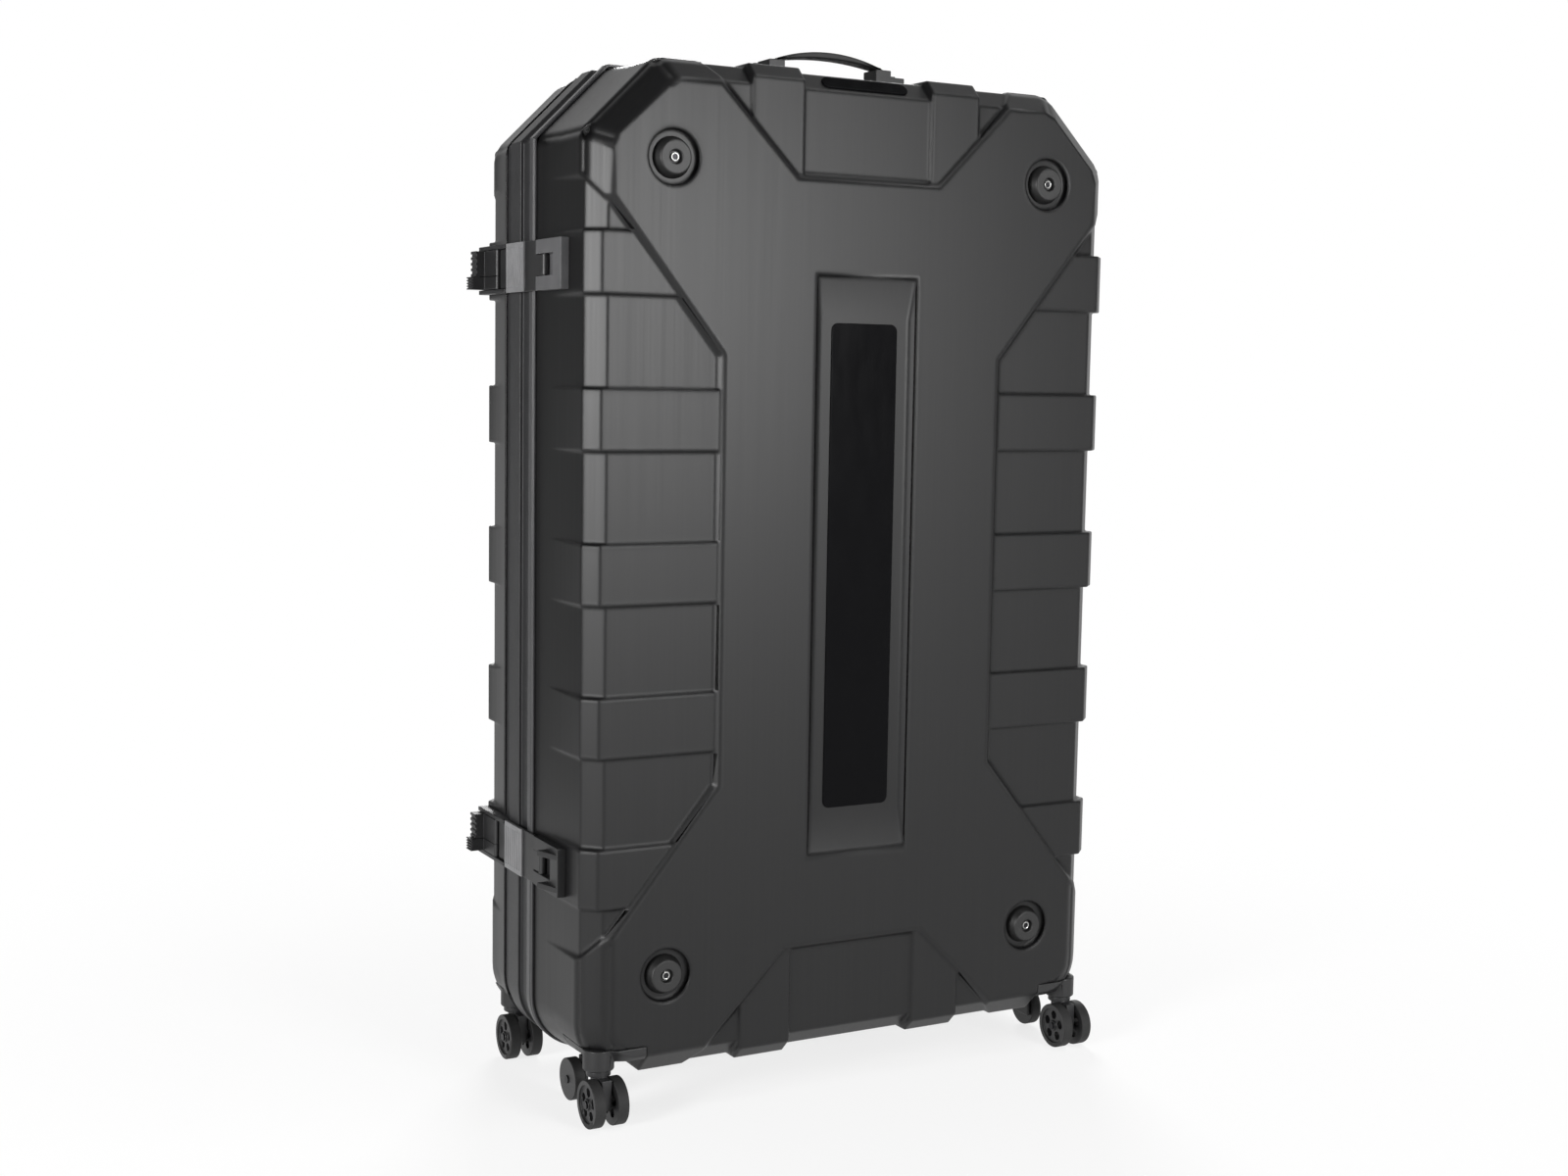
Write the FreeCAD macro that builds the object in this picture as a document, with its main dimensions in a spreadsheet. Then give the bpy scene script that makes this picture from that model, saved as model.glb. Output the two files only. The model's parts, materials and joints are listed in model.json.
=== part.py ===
import FreeCAD, Part
import math
import os
import re
import Sketcher

from FreeCAD import Placement, Rotation, Vector

# Bike travel case: two moulded shells on swivel casters, hinged on the right and latched on the left.
# Millimetres. X runs to the right as seen from the front, Y from front to back, Z up from the floor.
# Every piece is first built with Y counted from the plane of the front X panel, and its Placement
# then moves it back so that the origin lies under the middle of the whole case.

SIZES = {
    # Form of the two shells
    "top_extra": (234.5, "half height above the middle, less half width"),
    "bottom_extra": (241, "half height below the middle, less half width"),
    "wall": (3, "thickness of the moulded sheet"),
    "panel_proud": (3.5, "X panel outside the field at the side"),
    "panel_bevel": (27.5, "edge bevel of the X panel"),
    "recess_depth": (9, "field between the arms, behind the X panel"),
    "recess_bevel": (21, "edge bevel of the field"),
    "rib_depth": (4.5, "raised bands, behind the X panel"),
    "rib_proud": (5, "bands outside the field at the side"),
    "rib_bevel": (17, "edge bevel of the bands"),
    "seam_half": (371, "half width of the shells at their open edge"),
    "side_draft": (7, "how far a side leans in from the open edge to the field's bevel"),
    "top_chamfer": (74, "leg of the top corner chamfer on the X panel's face"),
    "bottom_radius": (40, "bottom corner radius on the X panel's face"),
    "front_shell_depth": (165, "front X panel to the front shell's open edge"),
    "rear_shell_depth": (88, "rear X panel to the rear shell's open edge"),
    "frame_depth": (97, "front shell's open edge to the rear shell's"),
    # X panel, bands and pocket
    "waist_half": (195, "half width of the X panel's waist"),
    "waist_rise": (260, "half height of the straight waist"),
    "arm_slope": (1.23, "climb of the X panel's arms for each step outward"),
    "window_half": (100, "half width of the notch at top and bottom"),
    "window_height": (134.5, "notch's straight edge below the top"),
    "step_run": (7, "how far the foot of the panel's step stands out"),
    "rib_pitch": (181, "spacing of the side bands"),
    "rib_half": (36.5, "half width of a side band"),
    "window_rib_inner": (90, "inner edge of a band in the top and bottom notch"),
    "window_rib_outer": (160, "outer edge of that band"),
    "pocket_half": (72, "half width of the centre pocket"),
    "pocket_rise": (360, "half height of the centre pocket"),
    "pocket_depth": (8, "depth of the centre pocket"),
    "pocket_side_run": (8, "slope of the pocket's long sides"),
    "pocket_end_run": (52, "slope of the pocket's ends"),
    "pocket_lip_depth": (2.5, "steep lip where the pocket's ends start"),
    "pocket_lip_run": (4, "slope of that lip"),
    "plate_side_gap": (17.5, "name plate to the pocket's long sides"),
    "plate_end_gap": (7, "name plate to the pocket's sloped ends"),
    "plate_thickness": (2, "name plate"),
    "plate_corner": (9, "corner radius of the name plate"),
    "badge_half": (60, "half length of the top badge"),
    "badge_rise": (9.5, "half height of the top badge"),
    "badge_thickness": (2.5, "top badge"),
    "badge_corner": (9, "corner radius of the top badge"),
    "bumper_side_inset": (107, "bumper centre in from the shells' open edge"),
    "bumper_top_inset": (120.5, "upper bumper centre below the top"),
    # Bumpers
    "bumper_well_radius": (32.5, "round recess that holds a bumper"),
    "bumper_well_depth": (9, "depth of that recess"),
    "bumper_base_radius": (25, "bumper at the recess floor"),
    "bumper_top_radius": (19.5, "bumper at its outer end"),
    "bumper_proud": (4, "bumper end in front of the X panel"),
    "bumper_bore_radius": (8, "counterbore for the screw head"),
    "bumper_bore_depth": (6, "depth of the counterbore"),
    "screw_radius": (2.5, "bumper and handle screws"),
    "screw_head_radius": (5, "pan head"),
    "screw_head_height": (3, "pan head"),
    "nut_radius": (8, "flanged nut inside the shell"),
    "nut_height": (4, "flanged nut"),
    "screw_tip": (1, "screw beyond its nut"),
    "rim_proud": (3, "front rim outside the shells"),
    "rim_breadth": (15, "rims inside the shells' open edge"),
    # Rims and seal
    "rim_overlap": (6, "rim outside the shell's edge"),
    "rim_lip": (14, "lip inside the shell's edge"),
    "rim_width": (17, "front rim, front to back"),
    "rim_line": (3, "width of the line round the front rim"),
    "rim_line_depth": (1.4, "depth of that line"),
    "parting_gap": (2, "front rim to centre frame"),
    "frame_groove": (30, "dark groove at the front of the centre frame"),
    "frame_groove_inset": (2.5, "frame's grooves inside the shells' open edge"),
    "frame_band": (32, "raised band of the centre frame"),
    "frame_band_proud": (2, "raised band outside the shells"),
    "seal_inset": (4, "seal outside the opening"),
    "seal_width": (5, "seal"),
    "seal_seat": (3, "seal let into the frame"),
    "seal_clear": (0.3, "seal to the front rim"),
    "hinge_offset": (10, "hinge axis outside the front rim"),
    # Hinges
    "knuckle_radius": (6, "hinge knuckle"),
    "knuckle_length": (20, "one of three knuckles"),
    "knuckle_gap": (0.3, "between knuckles"),
    "hinge_pin_radius": (2.5, "hinge pin"),
    "hinge_pin_head": (4.5, "radius of the pin's head"),
    "hinge_pin_cap": (2, "height of the pin's head"),
    "leaf_proud": (3, "hinge leaves outside the front rim"),
    "leaf_setback": (6, "leaf edge from the hinge axis"),
    "leaf_length": (48, "leaf along the side"),
    "leaf_half": (32, "half height of a leaf"),
    "leaf_web": (5, "web from leaf to knuckle"),
    "running_fit": (0.05, "radial clearance of a shaft in its bore"),
    # Latches, whose stations run from the parting plane
    "latch_half": (30, "half height of a latch"),
    "anchor_setback": (37, "parting plane to the anchor plate"),
    "anchor_length": (78, "anchor plate"),
    "anchor_slot_length": (54, "slot of the C-shaped anchor"),
    "anchor_slot_half": (13.2, "half height of that slot"),
    "anchor_proud": (1.4, "anchor plate outside the strap"),
    "anchor_pin_radius": (2, "pin that the strap turns on"),
    "strap_pin_setback": (59, "parting plane to that pin"),
    "strap_knuckle_radius": (4.5, "strap eye"),
    "strap_clear": (0.6, "strap to the rims and to the housing's sides"),
    "strap_eye_clear": (0.5, "strap eye to the slot's floor"),
    "strap_thickness": (4, "strap arm"),
    "strap_neck_half": (12.5, "half height of the strap's neck"),
    "strap_link_setback": (34.5, "parting plane to the start of the wide link"),
    "band_start": (1, "pale band begins behind the parting plane"),
    "band_end": (59, "pale band ends behind the parting plane"),
    "band_thickness": (2.5, "pale band"),
    "band_groove": (0.8, "cross grooves of the pale band"),
    "tongue_half": (24, "half height of the tongue in the housing"),
    "tongue_end": (85, "tongue ends behind the parting plane"),
    "housing_start": (61, "housing begins behind the parting plane"),
    "housing_end": (153, "housing ends behind the parting plane"),
    "housing_floor_clear": (0.4, "tongue to the housing's floor"),
    "housing_proud": (3.4, "housing sides outside the strap"),
    "lever_pin_station": (93, "lever pin behind the parting plane"),
    "lever_pin_radius": (2.5, "lever pin"),
    "lever_radius": (3.6, "round end of the levers, half their thickness"),
    "lever_end": (149, "levers end behind the parting plane"),
    "lever_split": (-8, "height of the line between the two levers"),
    "lever_gap": (0.6, "between the two levers and to the housing's sides"),
    "thumb_length": (18, "thumb pad along the lever"),
    "ratchet_thumb": (12, "ratchet lever's thumb pad outside the lever"),
    "release_thumb": (17.5, "release lever's thumb pad outside the lever"),
    "tooth_depth": (1.6, "serration of the thumb pads"),
    # Handles
    "handle_setback": (47, "top handle in front of the front shell's open edge"),
    "side_handle_setback": (28, "side handle behind the rear shell's open edge"),
    "side_handle_drop": (208, "side handle below the middle"),
    "handle_half_span": (77, "middle to the middle of a grip's leg"),
    "handle_rise": (37.5, "crown of the top grip above the shell"),
    "side_handle_rise": (32.3, "crown of the side grip beyond the shell"),
    "grip_thickness": (8, "handle grip"),
    "grip_width": (24, "handle grip, across"),
    "grip_clear": (0.4, "grip leg in its box"),
    "socket_half": (11, "half length of a boxed handle end"),
    "socket_height": (22, "boxed handle end above the shell"),
    "socket_floor": (1.6, "floor of the box above the shell"),
    "socket_width": (32, "boxed handle end, across"),
    "foot_length": (20, "flat foot beside a boxed end"),
    "foot_height": (14, "flat foot"),
    "seat_depth": (12, "how far a base is drawn into the shell before it is cut back"),
    # Casters
    "caster_side_inset": (30, "kingpin in from the shells' open edge"),
    "front_caster_inset": (24, "front kingpin behind the front X panel"),
    "rear_caster_clear": (6, "turning rear wheel to the rear X panel"),
    "caster_trail": (15, "axle in front of its kingpin"),
    "wheel_radius": (29, "caster wheel"),
    "wheel_width": (14, "caster wheel"),
    "wheel_gap": (1.5, "wheel to fork"),
    "wheel_dish": (2.5, "dished face of a wheel"),
    "tread": (6.5, "tread ring"),
    "hub_radius": (7, "wheel hub"),
    "spoke_hole_ring": (14.6, "ring of the openings between spokes"),
    "spoke_hole_radius": (5.4, "opening between spokes"),
    "axle_radius": (3, "caster axle"),
    "axle_cap_radius": (5, "axle end cap"),
    "axle_cap": (1.4, "axle end cap, thickness"),
    "axle_play": (0.3, "wheel to axle cap"),
    "fork_half": (6.5, "half width of the fork"),
    "fork_nose": (12, "round end of the fork about the axle"),
    "fork_tail": (10, "fork behind the kingpin"),
    "crown_radius": (15, "fork crown"),
    "crown_height": (7, "fork crown"),
    "crown_clear": (0.5, "wheel to fork crown"),
    "swivel_gap": (0.5, "fork crown to bracket"),
    "kingpin_radius": (4, "kingpin"),
    "kingpin_depth": (14, "kingpin below the crown"),
    "kingpin_head_radius": (7, "kingpin head"),
    "kingpin_head": (4, "kingpin head, height"),
    "kingpin_head_drop": (2, "kingpin head below the bracket's top"),
    "well_side_clear": (9, "turning wheel to the well's inner side"),
    "well_height": (42, "roof of a wheel well above the case's underside"),
    "front_well_clear": (20, "turning front wheel to the well's back"),
    "bracket_thickness": (17, "corner bracket"),
    "boss_radius": (19, "kingpin boss"),
    "boss_drop": (9, "kingpin boss below the bracket"),
    # Plain rollers behind the front casters
    "roller_radius": (26, "plain roller"),
    "roller_clear": (3, "roller above the floor"),
    "roller_gap": (7, "turning front wheel to the roller"),
    "roller_width": (14, "plain roller"),
    "roller_offset": (6, "roller's inner face in from the kingpin"),
    "arm_thickness": (5, "arm that carries the roller"),
    "arm_length": (8, "root of that arm, front to back"),
    "arm_gap": (0.6, "arm to roller"),
    "arm_eye": (9, "round end of that arm"),
    "arm_roof_drop": (33, "top of the arm's level run below the wheel well's roof"),
    "pad_side_inset": (71, "foam pads in from the shells' open edge"),
    "pad_top_inset": (85.5, "foam pad below the top"),
    "pad_bottom_gap": (30, "foam pad above the wheel wells' roof"),
    # Inside
    "pad_clear": (0.3, "foam pad to the shell"),
    "pad_thickness": (12, "foam pad"),
    "pad_hole_radius": (11, "hole in a pad round a nut"),
    "strap_inset": (10, "strap ends in from the pad's edge"),
    "tie_rise": (200, "tie-down straps above and below the middle"),
    "tie_width": (25, "tie-down strap"),
    "tie_thickness": (2, "tie-down strap"),
    "buckle_x": (100, "middle of a tie-down buckle"),
    "buckle_length": (55, "tie-down buckle"),
    "buckle_width": (36, "tie-down buckle"),
    "buckle_height": (8, "tie-down buckle"),
}

# Sizes that follow from those above, as the sheet's own formulas
FITTED = {
    # Depths, from the front X panel back
    "case_depth": ("front_shell_depth + frame_depth + rear_shell_depth", "front X panel to rear X panel"),
    "handle_station": ("front_shell_depth - handle_setback", "top handle behind the front X panel"),
    "side_handle_station": (
        "rear_shell_depth - side_handle_setback",
        "side handle in front of the rear X panel",
    ),
    # Half widths, from the shells' open edge
    "recess_reach": ("seam_half - side_draft", "half width where the field's edge bevel ends"),
    "recess_face": ("recess_reach - recess_bevel", "half width of the field's flat face"),
    "panel_reach": ("recess_reach + panel_proud", "half width of the X panel where it wraps the side"),
    "panel_face": ("panel_reach - panel_bevel", "half width of the X panel's flat face"),
    "rib_reach": ("recess_reach + rib_proud", "half width of the bands at the side"),
    "rib_face": ("rib_reach - rib_bevel", "half width of the bands' flat face"),
    "bumper_x": ("seam_half - bumper_side_inset", "bumper centre from the middle"),
    "rim_reach": ("seam_half + rim_proud", "half width of the front rim"),
    "rim_inner": ("seam_half - rim_breadth", "half width of the opening inside the rims"),
    "frame_groove_reach": ("seam_half - frame_groove_inset", "half width in the frame's grooves"),
    "frame_band_reach": ("seam_half + frame_band_proud", "half width of the raised band"),
    "seal_inner": ("rim_inner + seal_inset", "half width inside the seal"),
    "seal_outer": ("seal_inner + seal_width", "half width outside the seal"),
    "hinge_x": ("rim_reach + hinge_offset", "hinge axis from the middle"),
    "leaf_reach": ("rim_reach + leaf_proud", "outer face of the hinge leaves"),
    "caster_x": ("seam_half - caster_side_inset", "kingpin from the middle"),
    "well_half": (
        "caster_x - caster_trail - wheel_radius - well_side_clear",
        "inner side of a wheel well",
    ),
    "roller_x": ("caster_x - roller_offset", "inner face of the roller from the middle"),
    "pad_half": ("seam_half - pad_side_inset", "half width of the foam pads"),
    "strap_half": ("pad_half - strap_inset", "half length of a tie-down strap"),
    # Heights, from the floor up through the casters to the case
    "well_top": (
        "2 * wheel_radius + crown_clear + crown_height + swivel_gap + boss_drop + bracket_thickness",
        "roof of a wheel well above the floor",
    ),
    "panel_height": (
        "well_top - well_height + bottom_extra + seam_half",
        "middle of the X panels above the floor",
    ),
    "bumper_rise": (
        "top_extra + seam_half - bumper_top_inset",
        "bumper centre above and below the middle",
    ),
    "window_rise": ("top_extra + seam_half - window_height", "middle to the notch's straight edge"),
    "side_handle_height": ("panel_height - side_handle_drop", "side handle's middle above the floor"),
    "pad_top": ("top_extra + seam_half - pad_top_inset", "foam pad above the middle"),
    "pad_bottom": ("panel_height - well_top - pad_bottom_gap", "foam pad below the middle"),
    # Name plate, inside the pocket
    "plate_half": ("pocket_half - pocket_side_run - plate_side_gap", "half width of the bare name plate"),
    "plate_rise": ("pocket_rise - pocket_end_run - plate_end_gap", "half height of the bare name plate"),
    # Casters and rollers, from the room that a turning caster takes
    "rear_caster_inset": (
        "caster_trail + wheel_radius + rear_caster_clear",
        "rear kingpin in front of the rear X panel",
    ),
    "front_well_depth": (
        "front_caster_inset + caster_trail + wheel_radius + front_well_clear",
        "front wheel well behind the front X panel",
    ),
    "roller_station": (
        "front_caster_inset + caster_trail + wheel_radius + roller_gap + roller_radius",
        "roller behind the front X panel",
    ),
}

doc = FreeCAD.newDocument("bike_travel_case")
sheet = doc.addObject("Spreadsheet::Sheet", "Sizes")
for row, (alias, (value, meaning)) in enumerate([*SIZES.items(), *FITTED.items()], start=1):
    sheet.set(f"A{row}", meaning)
    sheet.set(f"B{row}", f"={value}")
    sheet.setAlias(f"B{row}", alias)
doc.recompute()

# Stations along Y that several pieces share, as formulas of the sheet's sizes
FRONT_PLANE = "(wheel_radius + caster_trail - front_caster_inset - case_depth - bumper_proud) / 2"
BEVEL_END = "(recess_depth + recess_bevel)"
RIM_END = "(front_shell_depth - rim_overlap + rim_width)"
PARTING = f"({RIM_END} + parting_gap / 2)"
STRAP_IN = "(rim_reach + strap_clear)"
STRAP_OUT = "(rim_reach + strap_clear + strap_thickness)"
STRAP_AXIS = "(rim_reach + strap_clear + strap_thickness / 2)"
LEVER_AXIS = f"({STRAP_IN} + lever_gap + lever_radius)"
LEVER_OUT = f"({STRAP_IN} + lever_gap + 2 * lever_radius)"
PAD_SEAT = "(max(recess_depth; bumper_well_depth; pocket_depth) + wall + pad_clear)"
PADDED = f"({PAD_SEAT} + pad_thickness)"
TOP_SURFACE = (
    f"(panel_height + top_extra + recess_reach + side_draft * (handle_station - {BEVEL_END})"
    f" / (front_shell_depth - {BEVEL_END}))"
)
SIDE_SURFACE = (
    f"(recess_reach + side_draft * (side_handle_station - {BEVEL_END})"
    f" / (rear_shell_depth - {BEVEL_END}))"
)
BRACKET_LOW = "(well_top - bracket_thickness)"
BOSS_LOW = "(well_top - bracket_thickness - boss_drop)"
CROWN_TOP = f"({BOSS_LOW} - swivel_gap)"
CROWN_LOW = f"({CROWN_TOP} - crown_height)"
HEAD_LOW = "(well_top - kingpin_head_drop - kingpin_head)"
WHEEL_IN = "(fork_half + wheel_gap)"
WHEEL_OUT = "(fork_half + wheel_gap + wheel_width)"
AXLE_END = f"({WHEEL_OUT} + axle_play + axle_cap)"
ROLLER_AXIS = "(roller_radius + roller_clear)"

PIECES = []


def size(alias):
    return float(sheet.get(alias))


def bound(text):
    """The formula with each size's name turned into a reference to its cell."""
    return re.sub(r"\b[a-z][a-z_]*(?![a-z_(])", lambda word: "Sizes." + word.group(0), text)


def bind(obj, **formulas):
    for name, text in formulas.items():
        obj.setExpression(name, bound(text))
    return obj


def place(obj, x, y, z):
    for axis, text in zip("xyz", (x, y, z)):
        obj.setExpression(f"Placement.Base.{axis}", bound(text))
    return obj


def piece(label, obj):
    """Names a finished sub-part and moves it from the panel's plane to the case's own frame."""
    obj.Label = label
    obj.setExpression("Placement.Base.y", bound(FRONT_PLANE))
    PIECES.append(obj)
    return obj


def block(x_range, y_range, z_range):
    """A box between pairs of low and high formulas."""
    obj = doc.addObject("Part::Box", "Block")
    spans = [f"({high}) - ({low})" for low, high in (x_range, y_range, z_range)]
    bind(obj, Length=spans[0], Width=spans[1], Height=spans[2])
    return place(obj, x_range[0], y_range[0], z_range[0])


TURNS = {
    "x": Rotation(Vector(0, 1, 0), 90),
    "y": Rotation(Vector(1, 0, 0), -90),
    "z": Rotation(),
}


def rod(axis, span, cross, radius):
    """A cylinder along an axis between two formulas, at the given place on the two other axes."""
    obj = doc.addObject("Part::Cylinder", "Rod")
    obj.Placement = Placement(Vector(), TURNS[axis])
    bind(obj, Radius=radius, Height=f"({span[1]}) - ({span[0]})")
    where = list(cross)
    where.insert("xyz".index(axis), span[0])
    return place(obj, *where)


def ordered(sign, start, end):
    """The two formulas from low to high, where sign tells which way the span runs."""
    return (start, end) if sign > 0 else (end, start)


def mirrored(side, low, high):
    """A span on the right, or the same span on the left."""
    return (low, high) if side > 0 else (f"-({high})", f"-({low})")


def around(middle, half):
    return f"{middle} - ({half})", f"{middle} + ({half})"


def joined(*parts):
    obj = doc.addObject("Part::MultiFuse", "Joined")
    obj.Shapes = list(parts)
    return obj


def carved(base, *tools):
    obj = doc.addObject("Part::Cut", "Carved")
    obj.Base = base
    obj.Tool = tools[0] if len(tools) == 1 else joined(*tools)
    return obj


def common(base, tool):
    obj = doc.addObject("Part::Common", "Common")
    obj.Base = base
    obj.Tool = tool
    return obj


def group(*parts):
    obj = doc.addObject("Part::Compound", "Group")
    obj.Links = list(parts)
    return obj


def solid(shape):
    obj = doc.addObject("Part::Feature", "Form")
    obj.Shape = shape
    return obj


# Outlines and forms of the moulded shells


def outline(half):
    """The case's outline as corners in X and Z; outlines of different half width are parallel offsets."""
    grown = half - size("panel_face")
    top = size("panel_height") + half + size("top_extra")
    bottom = size("panel_height") - half - size("bottom_extra")
    leg = size("top_chamfer") + (2 - math.sqrt(2)) * grown
    radius = size("bottom_radius") + grown
    right = [(half - radius, bottom), (half, bottom + radius), (half, top - leg), (half - leg, top)]
    return right + [(-x, z) for x, z in reversed(right)]


def bottom_arcs():
    """Which stretches of the outline are quarter circles, and their centres, shared by all offsets."""
    x = size("panel_face") - size("bottom_radius")
    z = size("panel_height") - size("panel_face") - size("bottom_extra") + size("bottom_radius")
    return {0: Vector(x, 0, z), 6: Vector(-x, 0, z)}


ARC_AXIS = Vector(0, -1, 0)


def closed_wire(corners, arcs):
    edges = []
    for index, (start, end) in enumerate(zip(corners, corners[1:] + corners[:1])):
        if index in arcs:
            centre = Vector(arcs[index].x, start.y, arcs[index].z)
            half_way = Rotation(ARC_AXIS, 45).multVec(start - centre) + centre
            edges.append(Part.Arc(start, half_way, end).toShape())
        else:
            edges.append(Part.makeLine(start, end))
    return Part.Wire(edges)


def stacked(sections, arcs):
    """A solid with flat and conical sides through parallel outlines, given as (corners, depth)."""
    rings = [[Vector(x, depth, z) for x, z in corners] for corners, depth in sections]
    faces = [Part.Face(closed_wire(rings[0], arcs)), Part.Face(closed_wire(rings[-1], arcs))]
    for near, far in zip(rings, rings[1:]):
        for index in range(len(near)):
            after = (index + 1) % len(near)
            if index in arcs:
                side = Part.makeLine(near[index], far[index])
                faces.append(side.revolve(arcs[index], ARC_AXIS, 90))
            else:
                corners = [near[index], near[after], far[after], far[index], near[index]]
                faces.append(Part.Face(Part.makePolygon(corners)))
    skin = Part.makeShell(faces)
    skin.sewShape()
    form = Part.makeSolid(skin)
    if form.Volume < 0:
        form.reverse()
    return form


def tray(face_depth, face, reach, end_half, end_depth, inset):
    """A solid tray with a flat face, a 45 degree edge bevel and drafted sides, moved in by inset."""
    corner = inset * math.tan(math.radians(22.5))
    sections = [
        (outline(face - corner), face_depth + inset),
        (outline(reach - inset), face_depth + reach - face + corner),
        (outline(end_half - inset), end_depth),
    ]
    return stacked(sections, bottom_arcs())


def x_outline(grow):
    """The X panel's outline, grown outward; its arms run on past the case's edge."""
    slant = math.sqrt(2) * grow
    tuck = (math.sqrt(2) - 1) * grow
    past = size("seam_half")
    waist, rise = size("waist_half"), size("waist_rise")
    notch, edge = size("window_half"), size("window_rise")
    climb = size("arm_slope")
    drop = math.hypot(1, climb) * grow
    quarter = [
        (waist + grow, rise + climb * grow - drop),
        (waist + past, rise + climb * past - drop),
        (waist + past, edge + past),
        (notch + past - slant, edge + past),
        (notch - tuck, edge + grow),
    ]
    upper = quarter + [(-x, z) for x, z in reversed(quarter)]
    around_middle = upper + [(-x, -z) for x, z in upper]
    return [(x, size("panel_height") + z) for x, z in around_middle]


def x_prism(inset, end_depth):
    """The X panel's prism with its sloped step, moved in by inset."""
    start = -2 * size("wall")
    slope = size("step_run") / size("recess_depth")
    foot = x_outline(size("step_run") - inset)
    sections = [
        (x_outline(slope * start - inset), start + inset),
        (foot, size("recess_depth") + inset),
        (foot, end_depth),
    ]
    return stacked(sections, {})


def slab(x_range, y_range, z_range):
    corner = Vector(x_range[0], y_range[0], z_range[0])
    return Part.makeBox(
        x_range[1] - x_range[0], y_range[1] - y_range[0], z_range[1] - z_range[0], corner
    )


def band_slabs(inset, end_depth):
    """The side bands, and the bands in the top and bottom notch that wrap over the edge."""
    wide = 2 * size("seam_half")
    middle = size("panel_height")
    bands = []
    for step in range(-2, 3):
        height = middle + step * size("rib_pitch")
        half = size("rib_half") - inset
        bands.append(slab((-wide, wide), (0, end_depth), (height - half, height + half)))
    inner = size("window_rib_inner") + inset
    outer = size("window_rib_outer") - inset
    tall = (middle + size("waist_rise"), middle + wide)
    low = (middle - wide, middle - size("waist_rise"))
    for span in ((inner, outer), (-outer, -inner)):
        bands.append(slab(span, (0, end_depth), tall))
        bands.append(slab(span, (0, end_depth), low))
    return bands


def pocket_sink(inset):
    """The long centre pocket with steep sides, and a lip and a long slope at each end."""
    depth, lip = size("pocket_depth"), size("pocket_lip_depth")

    def section(level, end_run):
        half = size("pocket_half") - size("pocket_side_run") * level / depth + inset
        rise = size("pocket_rise") - end_run + inset
        low, high = size("panel_height") - rise, size("panel_height") + rise
        return [(-half, low), (half, low), (half, high), (-half, high)], inset + level

    lip_run = size("pocket_lip_run")
    sections = [section(-lip, -lip_run), section(lip, lip_run), section(depth, size("pocket_end_run"))]
    return stacked(sections, {})


def bumper_spots():
    for side in (-1, 1):
        for level in (-1, 1):
            yield side, level


def shell_form(inset, edge_depth, well_depth, pocket):
    """The filled form of one shell, moved in by inset, with its face towards -Y."""
    open_end = edge_depth if inset == 0 else edge_depth + size("wall")
    end_half = size("seam_half")
    rib_end = min(size("rib_reach"), end_half)
    panel_end = min(size("panel_reach"), end_half)
    form = tray(size("recess_depth"), size("recess_face"), size("recess_reach"), end_half, open_end, inset)
    panel = tray(0, size("panel_face"), size("panel_reach"), panel_end, open_end, inset)
    bands = tray(size("rib_depth"), size("rib_face"), size("rib_reach"), rib_end, open_end, inset)
    raised = [panel.common(x_prism(inset, open_end))]
    raised += [bands.common(band) for band in band_slabs(inset, open_end)]
    form = form.multiFuse(raised)
    sinks = []
    for side, level in bumper_spots():
        centre = Vector(
            side * size("bumper_x"),
            size("bumper_well_depth") + inset,
            size("panel_height") + level * size("bumper_rise"),
        )
        reach = size("bumper_well_depth") + 2 * inset + size("wall")
        sinks.append(Part.makeCylinder(size("bumper_well_radius") + inset, reach, centre, Vector(0, -1, 0)))
    if pocket:
        sinks.append(pocket_sink(inset))
    wide = 2 * size("seam_half")
    for low, high in ((size("well_half") - inset, wide), (-wide, inset - size("well_half"))):
        sinks.append(slab((low, high), (-wide, well_depth + inset), (-wide, size("well_top") + inset)))
    return form.cut(sinks).removeSplitter()


def to_rear(shape):
    return shape.mirror(Vector(0, size("case_depth") / 2, 0), Vector(0, 1, 0))


def filled_ring(outer, start, end):
    corners = [Vector(x, start, z) for x, z in outline(outer)]
    return Part.Face(closed_wire(corners, bottom_arcs())).extrude(Vector(0, end - start, 0))


def ring(outer, inner, start, end):
    """A frame that follows the case's outline."""
    return filled_ring(outer, start, end).cut(filled_ring(inner, start, end))


# Shells

front_edge = (size("front_shell_depth"), size("front_well_depth"), True)
rear_edge = (size("rear_shell_depth"), size("rear_shell_depth") - size("wall"), False)
front_filled = shell_form(0, *front_edge)
front_hollow = shell_form(size("wall"), *front_edge)
rear_filled = to_rear(shell_form(0, *rear_edge))
rear_hollow = to_rear(shell_form(size("wall"), *rear_edge))
front_solid = solid(front_filled)
rear_solid = solid(rear_filled)


def bumper_place(side, level):
    return f"{side} * bumper_x", f"panel_height + {level} * bumper_rise"


def screw_holes(y_range):
    return [rod("y", y_range, bumper_place(*spot), "screw_radius") for spot in bumper_spots()]


FRONT_WELL_FLOOR = "bumper_well_depth"
REAR_WELL_FLOOR = "case_depth - bumper_well_depth"
front_screw_holes = screw_holes(("0", "2 * (bumper_well_depth + wall)"))
rear_screw_holes = screw_holes(("case_depth - 2 * (bumper_well_depth + wall)", "case_depth"))
piece("front_shell", carved(solid(front_filled.cut(front_hollow)), *front_screw_holes))
piece("rear_shell", carved(solid(rear_filled.cut(rear_hollow)), *rear_screw_holes))

# Rims and seal

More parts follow.
